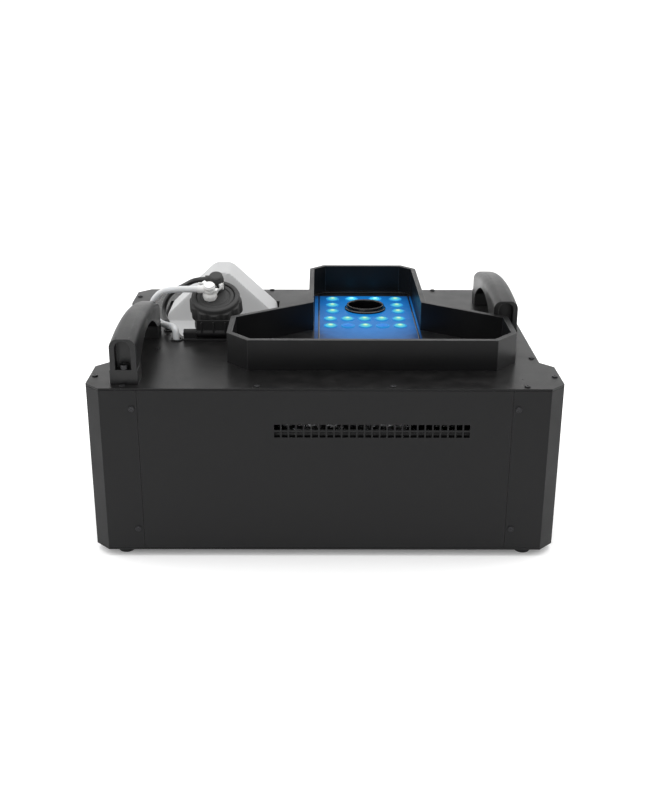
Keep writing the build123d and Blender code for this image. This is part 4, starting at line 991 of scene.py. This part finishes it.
@dataclass
class FluidBottle:
    """The blow-moulded bottle with its neck sleeve, cap ring, cap insert and cable ties.

    Attributes:
        middle: A point inside the bottle, below its ridge, in mm.
        sharpness: How tight its rounded edges are.
        tilt: How far the neck leans forward, in degrees.
        cap: The middle of the cap's top face, in mm.
        half_width, front, back, floor: The walls that bound it, in mm.
        saddle, saddle_fall, hump: Height and slope of the low front part, and where the high part starts.
        ridge_half, ridge_height, eave: The gabled part's ridge and the foot of its roof.
        shoulder: The slanted front walls' normal across and along, and their distance.
    """

    middle: tuple[float, float, float] = (-132.0, 104.0, 120.0)
    sharpness: float = 70.0
    tilt: float = 25.0
    cap: tuple[float, float, float] = (-132.0, 2.0, 243.0)
    half_width: float = 69.5
    front: float = -13.0
    back: float = 137.0
    floor: float = 14.0
    saddle: float = 191.0
    saddle_fall: float = 18.0 / 91.0
    hump: float = 75.0
    ridge_half: float = 11.0
    ridge_height: float = 253.0
    eave: float = 198.0
    shoulder: tuple[float, float, float] = (0.9326, -0.3608, 40.08)

    def cap_frame(self) -> Matrix:
        """The cap's own axes: X across, Z out along the neck."""
        lean = math.radians(self.tilt)
        z_axis = Vector((0, -math.sin(lean), math.cos(lean)))
        x_axis = Vector((1, 0, 0))
        matrix = Matrix((x_axis, z_axis.cross(x_axis), z_axis)).transposed().to_4x4()
        matrix.translation = Vector(self.cap) * MM
        return matrix

    def _walls(self) -> list[tuple[tuple[float, float, float], float]]:
        """The planes that both halves of the bottle share, as outward normal and distance from the middle."""
        x0, y0, z0 = self.middle
        nx, ny, reach = self.shoulder
        shared = [
            ((1, 0, 0), self.half_width),
            ((-1, 0, 0), self.half_width),
            ((0, 1, 0), self.back - y0),
            ((0, 0, -1), z0 - self.floor),
            ((nx, ny, 0), reach - ny * y0),
            ((-nx, ny, 0), reach - ny * y0),
        ]
        return shared

    def _reach(self, aim: np.ndarray, walls: list) -> np.ndarray:
        """Distance to a rounded convex body: one over the p-norm of each wall's own one over distance."""
        normals = np.array([w[0] for w in walls], float)
        distance = np.array([w[1] for w in walls], float)
        near = np.maximum(aim @ normals.T, 0.0) / distance
        return 1.0 / (near**self.sharpness).sum(-1) ** (1 / self.sharpness)

    def shell(self) -> Surface:
        """The bottle: from a middle point, each direction reaches the further of two rounded bodies.

        One body is the low front part under its sloping saddle and the other the gabled part behind it.
        """
        x0, y0, z0 = self.middle
        fall = math.hypot(1.0, self.saddle_fall)
        saddle_here = self.saddle + self.saddle_fall * (y0 - self.hump) - z0
        low = self._walls() + [
            ((0, -1, 0), y0 - self.front),
            ((0, 0, 1), self.saddle - z0),
            ((0, -self.saddle_fall / fall, 1 / fall), saddle_here / fall),
        ]
        run = self.half_width - self.ridge_half
        rise = self.ridge_height - self.eave
        slope = math.hypot(run, rise)
        roof = (rise * self.half_width + run * (self.eave - z0)) / slope
        high = self._walls() + [
            ((0, -1, 0), y0 - self.hump),
            ((0, 0, 1), self.ridge_height - z0),
            ((rise / slope, 0, run / slope), roof),
            ((-rise / slope, 0, run / slope), roof),
        ]
        polar = np.linspace(0, np.pi, 170)[:, None]
        angle = np.linspace(0, 2 * np.pi, 260, endpoint=False)[None, :]
        aim = np.stack(
            [np.sin(polar) * np.cos(angle), np.sin(polar) * np.sin(angle), np.cos(polar) + 0 * angle], -1
        )
        both = np.stack([self._reach(aim, low), self._reach(aim, high)], -1)
        reach = (both**self.sharpness).sum(-1) ** (1 / self.sharpness)
        reach = np.minimum(reach, both.max(-1) * 1.004)
        points = (np.array(self.middle) + aim * reach[..., None]) * MM
        return Surface(points.reshape(-1, 3), grid_quads(170, 260, False, True))

    def neck_sleeve(self) -> Surface:
        """The threaded sleeve between bottle and cap: a turned profile with two raised beads. Its black is
        partly the cap's dark skirt and partly painted shade under the cap.
        """
        profile = [(21.5, -4.8), (24.6, -4.8), (24.6, -27), (27.4, -27.6), (27.4, -31), (24.9, -31.6)]
        profile += [(24.9, -40), (28, -40.6), (28, -46), (25, -47), (25, -66), (21.5, -66)]
        return lathe(rounded(profile, 0.8) * MM, 96)

    def ring(self) -> Surface:
        """The cap ring: a turned profile whose skirt swells in twelve lobes, with fine ribs between them."""
        profile = [(23.2, 0.2), (24.2, 1.0), (27.6, 1.0), (29.0, -0.2), (29.2, -4.6), (29.6, -5.6)]
        profile += [(29.6, -23.2), (28.6, -24.0), (25.4, -24.0), (25.4, -3.2), (23.2, -3.2)]

        def lobes(radius: np.ndarray, height: np.ndarray, angle: np.ndarray) -> np.ndarray:
            """Raises the skirt's radius by rounded lobes below the shoulder."""
            below = np.clip((-height / MM - 4.8) / 2.0, 0, 1) * np.clip((radius / MM - 28.0) / 0.8, 0, 1)
            swell = np.abs(np.cos(angle * 6)) ** 1.6
            ribs = 0.18 * np.cos(angle * 72)
            return (swell * 2.4 + ribs) * below * MM

        return lathe(rounded(profile, 0.7, 4) * MM, 288, ripple=lobes)

    def insert(self) -> Surface:
        """The cap insert: a turned disc with a raised rim, a shallow groove and a plug below."""
        profile = [(0, -0.6), (15.5, -0.6), (16.3, -1.3), (17.4, -1.3), (18.2, -0.4)]
        profile += [(21.6, -0.2), (22.7, -0.9), (22.8, -3.3), (24.9, -3.4), (24.9, -4.7), (21.2, -4.9), (21.2, -10.6), (0, -10.6)]
        return lathe(capped(profile, 0.35) * MM, 96, closed=False)

    def nut(self, across: float, height: float, grips: int) -> Surface:
        """A domed gland nut: a turned profile whose side is pressed into flats.

        Args:
            across: Radius over the corners, in mm.
            height: Height in mm.
            grips: Number of flats.

        Returns:
            The nut on the cap's own axes, at its centre.
        """
        profile = [(0, 0.1), (across - 0.5, 0.1), (across, 0.6), (across, height * 0.62)]
        profile += [(across * 0.86, height * 0.86), (across * 0.72, height), (0, height)]

        def flats(radius: np.ndarray, height_now: np.ndarray, angle: np.ndarray) -> np.ndarray:
            """Draws the radius in to flats, more at the foot than at the crown."""
            sector = np.mod(angle, 2 * np.pi / grips) - np.pi / grips
            flat = math.cos(math.pi / grips) / np.cos(sector)
            low = np.clip(1 - height_now / MM / height, 0, 1)
            return radius * (flat - 1) * low

        return lathe(capped(profile, 0.7) * MM, 96, closed=False, ripple=flats)

    def tie(self, radius: float, tail: list[tuple[float, float, float]]) -> Surface:
        """A cable tie: a flat band carried round a circle, a head and a tail carried along its own path.

        Args:
            radius: The band's inner radius, in mm.
            tail: The tail's points on the tie's own axes, in mm.

        Returns:
            The tie, round Z.
        """
        turn = np.linspace(0, 2 * np.pi, 64, endpoint=False)
        loop = np.stack([np.cos(turn), np.sin(turn), 0 * turn], -1) * (radius + 0.5) * MM
        strap = rounded([(-0.5, -1.6), (0.5, -1.6), (0.5, 1.6), (-0.5, 1.6)], 0.3, 3) * MM
        band = carried(strap, loop, (0, 0, 1), True)
        head_path = np.array([[radius - 0.4, 0, 0], [radius + 4.2, 0, 0]]) * MM
        head_outline = rounded([(-2.6, -2.6), (2.6, -2.6), (2.6, 2.6), (-2.6, 2.6)], 0.8, 4) * MM
        head = carried(head_outline, np.linspace(head_path[0], head_path[1], 6), (0, 0, 1), False)
        knots = np.array(tail, float)
        t = np.linspace(0, 1, 18)[:, None]
        curve = (1 - t) ** 2 * knots[0] + 2 * t * (1 - t) * knots[1] + t**2 * knots[2]
        end = carried(strap * [1.0, 0.85], curve * MM, (0, 0, 1), False)
        return joined([band, head, end])

    def build(self, wardrobe: Wardrobe) -> None:
        """Makes every piece of the bottle.

        Args:
            wardrobe: Gives the finishes.
        """
        cap = self.cap_frame()
        dress = wardrobe.dress_piece
        dress(make_piece("bottle_shell", self.shell()), BOTTLE_PLASTIC, Slot.BOTTLE, Body.BOTTLE, "bottle")
        # The sleeve's black is partly the cap's skirt and partly painted shade under the cap.
        sleeve = self.neck_sleeve().moved(cap)
        dress(make_piece("neck_sleeve", sleeve), BLACK_PLASTIC, Slot.PLASTIC, Body.BOTTLE)
        ring = make_piece("lobed_cap", self.ring().moved(cap))
        dress(ring, BLACK_PLASTIC, Slot.PLASTIC, Body.CAP_RING, "cap_ring")
        disc = self.insert().moved(cap)
        dress(make_piece("cap_disc", disc), BLACK_PLASTIC, Slot.PLASTIC, Body.BOTTLE, "cap_insert")
        for name, place, radius, turn, tail in (
            ("elbow_tie", (-6, -3, 12.5), 6.1, -0.3, [(7, 0, 0), (13, 1, 1), (15, 5, 5)]),
            ("gland_tie", (1, 14, 11.0), 7.9, -0.9, [(9, 0, 0), (15, 0, 0), (19, -3, 3)]),
            ("hose_tie", (-6, -3, 17.0), 6.1, 2.4, [(7, 0, 0), (11, 2, 0), (12, 6, 2)]),
        ):
            matrix = cap @ Matrix.Translation(Vector(place) * MM) @ Matrix.Rotation(turn, 4, "Z")
            piece = make_piece(name, self.tie(radius, tail).moved(matrix))
            dress(piece, WHITE_NYLON, Slot.HOSE, Body.BOTTLE)
        for name, place, size, finish, slot in (
            ("elbow_nut", (-6, -3, 0), (8.6, 9.0, 8), WHITE_NYLON, Slot.BOTTLE),
            ("gland_nut", (1, 14, 7.5), (9.2, 13.2, 10), BLACK_PLASTIC, Slot.PLASTIC),
        ):
            matrix = cap @ Matrix.Translation(Vector(place) * MM)
            dress(make_piece(name, self.nut(*size).moved(matrix)), finish, slot, Body.BOTTLE)


# ------------------------------------------------------------------ lamp tray


@dataclass
class LampTray:
    """The tray with its lamp cover, lenses, nozzle collar and the blue light that they throw.

    Attributes:
        nozzle: The nozzle's middle in plan, in mm.
        lens_radius: Radius of a lens, in mm.
        cover_top: Height of the lamp cover, in mm.
        back_wall: The tray's rear wall, from the middle.
        rim_half, rim_back, rim_front, rim_turn: The rim's half width, its ends and its corner radius.
        lamp_rows: The rows round the nozzle, from the middle.
        front_rows, front_shift, step: The two front rows, how far they lie to one side and their pitch.
    """

    nozzle: tuple[float, float] = (53.0, 98.0)
    lens_radius: float = 8.5
    cover_top: float = 200.0
    back_wall: float = 193.0
    rim_half: float = 60.0
    rim_back: float = 176.0
    rim_front: float = -38.0
    rim_turn: float = 12.0
    lamp_rows: tuple[float, ...] = (143.0, 113.0, 85.0)
    front_rows: tuple[float, ...] = (51.0, 21.0)
    step: float = 21.5
    front_shift: float = -2.5

    def lit_places(self) -> list[tuple[float, float]]:
        """Where the lit lenses are: round the nozzle, then the two front rows."""
        x, _ = self.nozzle
        back, middle, near = self.lamp_rows
        spots = [(x - 42, back), (x - 16.5, back), (x + 15, back), (x + 42, back)]
        for y in (middle, near):
            spots += [(x - 42.5, y), (x + 42, y)]
        x += self.front_shift
        spots += [(x + self.step * column, self.front_rows[0]) for column in range(-2, 3)]
        spots += [(x + self.step * column, self.front_rows[1]) for column in (-2, 0, 2)]
        return spots

    def dark_places(self) -> list[tuple[float, float]]:
        """Where the two unlit lenses are."""
        x = self.nozzle[0] + self.front_shift
        return [(x + side * self.step, self.front_rows[1]) for side in (-1, 1)]

    def lens(self) -> Surface:
        """One lens: a dome with fine rings, height 2 (1 - s^2) + 0.1 cos(ring), a rim and a barrel below."""
        share = np.linspace(0, 1, 26)
        radius = share * (self.lens_radius - 0.9)
        height = 0.55 + 1.45 * (1 - share**2) + 0.09 * np.cos(share * 2 * np.pi * 5)
        rim = np.array([(7.8, 0.9), (8.2, 1.0), (8.5, 0.7), (8.5, -4.0), (0.0, -4.0)])
        profile = np.concatenate([np.stack([radius, height], -1), rim])
        return lathe(profile * MM, 40, closed=False)

    def lenses(self, places: list[tuple[float, float]]) -> Surface:
        """A lens at each place."""
        return copies(self.lens(), [(x, y, self.cover_top) for x, y in places])

    def collar(self) -> Surface:
        """The nozzle collar: a turned profile with a rolled rim and a stepped foot ring."""
        profile = [(21.2, -58), (24, -58), (24, 0.1), (26.4, 0.1), (26.6, 1.6), (24.6, 2.4), (24.4, 4.6)]
        profile += [(23.6, 6.2), (22.2, 6.2), (21.2, 5.0)]
        return lathe(rounded(profile, 0.6, 4) * MM, 96)

    def rim(self) -> Surface:
        """The raised rim round the cover: a rounded strip carried along one side, the back and the other."""
        x, _ = self.nozzle
        half, back, front, turn = self.rim_half, self.rim_back, self.rim_front, self.rim_turn
        corner = np.linspace(0, np.pi / 2, 12)
        right = np.stack([x + half - turn + turn * np.cos(corner), back - turn + turn * np.sin(corner)], -1)
        left = np.stack([2 * x - right[::-1, 0], right[::-1, 1]], -1)
        plan = np.concatenate([[(x + half, front)], right, left, [(x - half, front)]])
        path = np.column_stack([plan, np.full(len(plan), self.cover_top - 0.2)]) * MM
        strip = rounded([(-1.0, -0.9), (1.0, -0.9), (1.0, 0.9), (-1.0, 0.9)], 0.5, 3) * MM
        return carried(strip, path, (0, 0, 1), False)

    def cover_painted_light(self) -> GlowFinish:
        """The lamp cover's painted light: the blue light that the lamps throw on it, painted as a glow
        brightest round the lamps and deeper blue to its edges.
        """
        return GlowFinish(
            "lamp_cover_painted_light", (0.002, 0.008, 0.025),
            ((0.0, (0.004, 0.20, 0.60)), (0.55, (0.004, 0.17, 0.52)), (0.85, (0.002, 0.10, 0.33)),
             (1.0, (0.002, 0.035, 0.12))),
            strength=0.95, centre=(self.nozzle[0] * MM, 70 * MM), reach=(0.085, 0.14), roughness=(0.30, 0.34),
        )

    def glow(self) -> None:
        """Adds the light that leaves the lenses: a small blue lamp over groups of them."""
        spots = [(x, y, 0.030) for x, y in self.lit_places()[1:3]]
        spots += [(x, self.back_wall - 6, 0.0045) for x, _ in self.lit_places()[1:3]]
        spots += [(self.nozzle[0] + side * 50, y, 0.014) for side in (-1, 1) for y in (125, 60)]
        spots += [(self.nozzle[0] + side * 60, 12, 0.012) for side in (-1, 1)]
        for number, (x, y, power) in enumerate(spots):
            data = bpy.data.lights.new(f"glow_{number}", "POINT")
            data.energy = power
            data.color = (0.02, 0.45, 0.90)
            data.shadow_soft_size = 0.006
            lamp = bpy.data.objects.new(f"glow_{number}", data)
            lamp.location = Vector((x, y, self.cover_top + 9)) * MM
            lamp.visible_glossy = False
            bpy.context.scene.collection.objects.link(lamp)

    def build(self, wardrobe: Wardrobe) -> None:
        """Makes the lenses, the collar and the rim, and lights the lamp cover.

        Args:
            wardrobe: Gives the finishes.
        """
        dress = wardrobe.dress_piece
        lit = make_piece("lit_lenses", self.lenses(self.lit_places()))
        dress(lit, LIT_LENS, Slot.LIT, Body.CASE, "lamp_lenses")
        dark = make_piece("unlit_lenses", self.lenses(self.dark_places()))
        dress(dark, UNLIT_LENS, Slot.DARK, Body.CASE, "dark_lenses")
        x, y = self.nozzle
        collar = copies(self.collar(), [(x, y, self.cover_top)])
        dress(make_piece("nozzle_rim", collar), GLOSS_PLASTIC, Slot.SCREW, Body.CASE, "nozzle_collar")
        dress(make_piece("cover_rim", self.rim()), GLOSS_PLASTIC, Slot.GLOSS, Body.CASE)
        # The lamp cover's blue glow is painted light from the lamps round it.
        wardrobe.dress_nodes(self.cover_painted_light(), "lamp_panel")
        self.glow()


# ------------------------------------------------------------------ inside


@dataclass
class HeaterWrap:
    """The heater in its crinkled foil.

    Attributes:
        thick: How far the wrap's crinkles stand out, in mm.
        margin: How far the wrap stays inside its node's box, in mm.
    """

    thick: float = 2.2
    margin: float = 2.4

    def wrap(self) -> Surface:
        """The foil: a rounded outline carried along Y, moved in and out by sums of sines at odd angles."""
        low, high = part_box("heater_insulation")
        x0, x1 = low.x + self.margin * MM, high.x - self.margin * MM
        z0, z1 = low.z + self.margin * MM, high.z - self.margin * MM
        outline = rounded([(x0, z0), (x1, z0), (x1, z1), (x0, z1)], 0.016, 10)
        step = np.linspace(0, 1, len(outline) * 6, endpoint=False) * len(outline)
        index = step.astype(int)
        part = (step - index)[:, None]
        ring = outline[index % len(outline)] * (1 - part) + outline[(index + 1) % len(outline)] * part
        middle = ring.mean(0)
        along = np.linspace(low.y + self.margin * MM, high.y - self.margin * MM, 90)
        shrink = np.clip(np.minimum(along - along[0], along[-1] - along) / 0.012, 0, 1) ** 0.5 * 0.08 + 0.92
        shrink = np.concatenate([[0.0, 0.5], shrink, [0.5, 0.0]])
        along = np.concatenate([[along[0], along[0]], along, [along[-1], along[-1]]])
        a = np.arange(len(ring))[None, :] * 2 * np.pi / len(ring)
        y = along[:, None] * 1000
        fold = np.sin(31 * a + 0.21 * y) + np.sin(13 * a + 0.9 * y)
        fold = fold + np.sin(47 * a - 0.37 * y + 2 * np.sin(5 * a))
        fold = np.abs(fold) / 3 * self.thick * MM
        out = ring[None] - middle
        out = out / np.linalg.norm(out, axis=-1, keepdims=True)
        across = middle + (ring[None] - middle) * shrink[:, None, None] + out * fold[..., None]
        points = np.stack([across[..., 0], np.broadcast_to(along[:, None], fold.shape), across[..., 1]], -1)
        return Surface(points.reshape(-1, 3), grid_quads(len(along), len(ring), False, True))

    def build(self, wardrobe: Wardrobe) -> None:
        """Makes the foil.

        Args:
            wardrobe: Gives the finishes.
        """
        foil = make_piece("foil_wrap", self.wrap())
        wardrobe.dress_piece(foil, CRINKLED_FOIL, Slot.FOIL, Body.CASE, "heater_insulation")


@dataclass
class CoolingFan:
    """The rear fan's rotor with its twisted blades.

    Attributes:
        centre: The fan's middle across and up, in mm.
        blades: Number of blades.
        hub: Hub radius in mm.
        tip: Blade tip radius in mm.
    """

    centre: tuple[float, float] = (150.0, 103.0)
    near: float = 170.6
    far: float = 190.0
    blades: int = 7
    hub: float = 15.5
    tip: float = 36.5

    def rotor(self) -> Surface:
        """The rotor: a turned hub, and blades whose section is a thin closed curve turned by its radius.

        The section's point is (u, v) with u along the chord and v its thickness. Its pitch falls from root
        to tip, and the angle round the shaft is the blade's own angle plus the turned u over the radius.
        """
        depth = self.far - self.near
        profile = [(0, 0), (self.hub - 1.5, 0), (self.hub, 1.5), (self.hub, depth), (self.hub - 2, depth)]
        hub = lathe(capped([*profile, (0, depth)], 0.8) * MM, 72, closed=False)
        span = np.linspace(0, 1, 16)[:, None]
        turn = np.linspace(0, 2 * np.pi, 28, endpoint=False)[None, :]
        radius = self.hub - 0.6 + span * (self.tip - self.hub + 0.6)
        chord = 7.2 + 3.0 * span
        pitch = np.radians(50 - 18 * span)
        u = chord * np.cos(turn)
        v = 0.75 * np.sin(turn) + 1.3 * (1 - np.cos(turn) ** 2)
        around = (u * np.cos(pitch) - v * np.sin(pitch)) / radius + 0.25 * span
        height = depth / 2 + u * np.sin(pitch) + v * np.cos(pitch)
        height = np.clip(height, 1.0, depth - 0.5)
        one = np.stack(np.broadcast_arrays(radius * np.cos(around), radius * np.sin(around), height), -1)
        ends = one.mean(1, keepdims=True).repeat(one.shape[1], 1)
        one = np.concatenate([ends[:1], one, ends[-1:]])
        blade = Surface(one.reshape(-1, 3) * MM, grid_quads(len(one), one.shape[1], False, True))
        turns = [Matrix.Rotation(2 * math.pi * n / self.blades, 4, "Z") for n in range(self.blades)]
        return joined([Surface(hub.points, hub.quads), *(blade.moved(turn_by) for turn_by in turns)])

    def build(self, wardrobe: Wardrobe) -> None:
        """Makes the rotor.

        Args:
            wardrobe: Gives the finishes.
        """
        x, z = self.centre
        matrix = Matrix.Translation(Vector((x, self.near, z)) * MM) @ Matrix.Rotation(-math.pi / 2, 4, "X")
        rotor = make_piece("bladed_rotor", self.rotor().moved(matrix))
        wardrobe.dress_piece(rotor, BLACK_PLASTIC, Slot.PLASTIC, Body.FAN, "fan_rotor")


# ------------------------------------------------------------------ case and controls


@dataclass
class Case:
    """The case's rubber feet.

    Attributes:
        foot_radius: Radius of a foot, in mm.
        foot_height: Height of a foot, in mm.
        foot_places: Where the feet are from the middle, in mm.
    """

    foot_radius: float = 10.0
    foot_height: float = 8.0
    foot_places: tuple[float, float] = (222.0, 184.0)

    def foot(self) -> Surface:
        """One foot: a turned profile, wider at the top, with two grip grooves and a screw recess."""
        top = self.foot_height
        profile = [(0, 1.8), (2.6, 1.8), (3.2, 0.1), (5.2, 0.0), (5.6, 0.5)]
        profile += [(6.2, 0.5), (6.6, 0.0), (7.8, 0.0), (8.6, 0.5), (9.4, top * 0.6)]
        profile += [(self.foot_radius, top - 0.8), (self.foot_radius - 0.2, top)]
        smooth = np.concatenate([profile[:1], rounded(profile, 0.4, 4)[4:-4], [profile[-1]], [(0, top)]])
        return lathe(smooth * MM, 48, closed=False)

    def build(self, wardrobe: Wardrobe) -> None:
        """Makes the feet.

        Args:
            wardrobe: Gives the finishes.
        """
        across, along = self.foot_places
        feet = copies(self.foot(), [(x, y, 0) for x in (-across, across) for y in (-along, along)])
        wardrobe.dress_piece(make_piece("rubber_feet", feet), SOFT_RUBBER, Slot.RUBBER, Body.CASE, "feet")


@dataclass
class RearControls:
    """The rear fascia's lit display.

    Attributes:
        window: The display window's middle across and up, in mm.
        window_size: Its width and height, in mm.
        face: How far back its glass lies, in mm.
    """

    window: tuple[float, float] = (-30.0, 154.0)
    window_size: tuple[float, float] = (51.4, 21.4)
    face: float = 194.1
    digits: str = "001"
    digit_pitch: float = 11.0

    def glass(self) -> Surface:
        """The display's window, a rounded plate."""
        x, z = self.window
        half_x, half_z = (s / 2 for s in self.window_size)
        low = ((x - half_x) * MM, (self.face - 0.4) * MM, (z - half_z) * MM)
        high = ((x + half_x) * MM, (self.face + 0.7) * MM, (z + half_z) * MM)
        return slab(low, high, 0.0012)

    def segments(self) -> Surface:
        """Seven-bar digits: each bar is a small rounded plate, on or left out by the digit."""
        bars = {
            "a": (0, 5, 2.2, 0.45), "d": (0, -5, 2.2, 0.45), "f": (-2.8, 2.5, 0.45, 2.0),
            "b": (2.8, 2.5, 0.45, 2.0), "e": (-2.8, -2.5, 0.45, 2.0), "c": (2.8, -2.5, 0.45, 2.0),
        }
        lit = {"0": "abcdef", "1": "bc"}
        plates = []
        for number, digit in enumerate(self.digits):
            left = self.window[0] + self.digit_pitch * (1 - number)
            for bar in lit[digit]:
                x, z, half_x, half_z = bars[bar]
                low = ((left - x - half_x) * MM, (self.face + 0.62) * MM, (self.window[1] + z - half_z) * MM)
                high = ((left - x + half_x) * MM, (self.face + 0.86) * MM, (self.window[1] + z + half_z) * MM)
                plates.append(slab(low, high, 0.0004))
        return joined(plates)

    def build(self, wardrobe: Wardrobe) -> None:
        """Makes the display's window and digits.

        Args:
            wardrobe: Gives the finishes.
        """
        dress = wardrobe.dress_piece
        dress(make_piece("display_window", self.glass()), WINDOW_GLASS, Slot.GLOSS, Body.CASE)
        dress(make_piece("display_digits", self.segments()), DIGIT_GLOW, Slot.LIT, Body.CASE)


def main() -> None:
    """Builds the stage and the fluid lines first, then every sub-assembly."""
    logging.basicConfig(level=logging.INFO, format="%(message)s")
    Stage().build()
    wardrobe = Wardrobe()
    for line in (SUCTION_HOSE, FLOAT_CABLE):
        line.build(wardrobe)
    for finish, nodes in NODE_FINISHES.items():
        wardrobe.dress_nodes(finish, *nodes.split())
    for part in (FluidBottle(), LampTray(), HeaterWrap(), CoolingFan(), Case(), RearControls()):
        part.build(wardrobe)


if __name__ == "__main__":
    main()
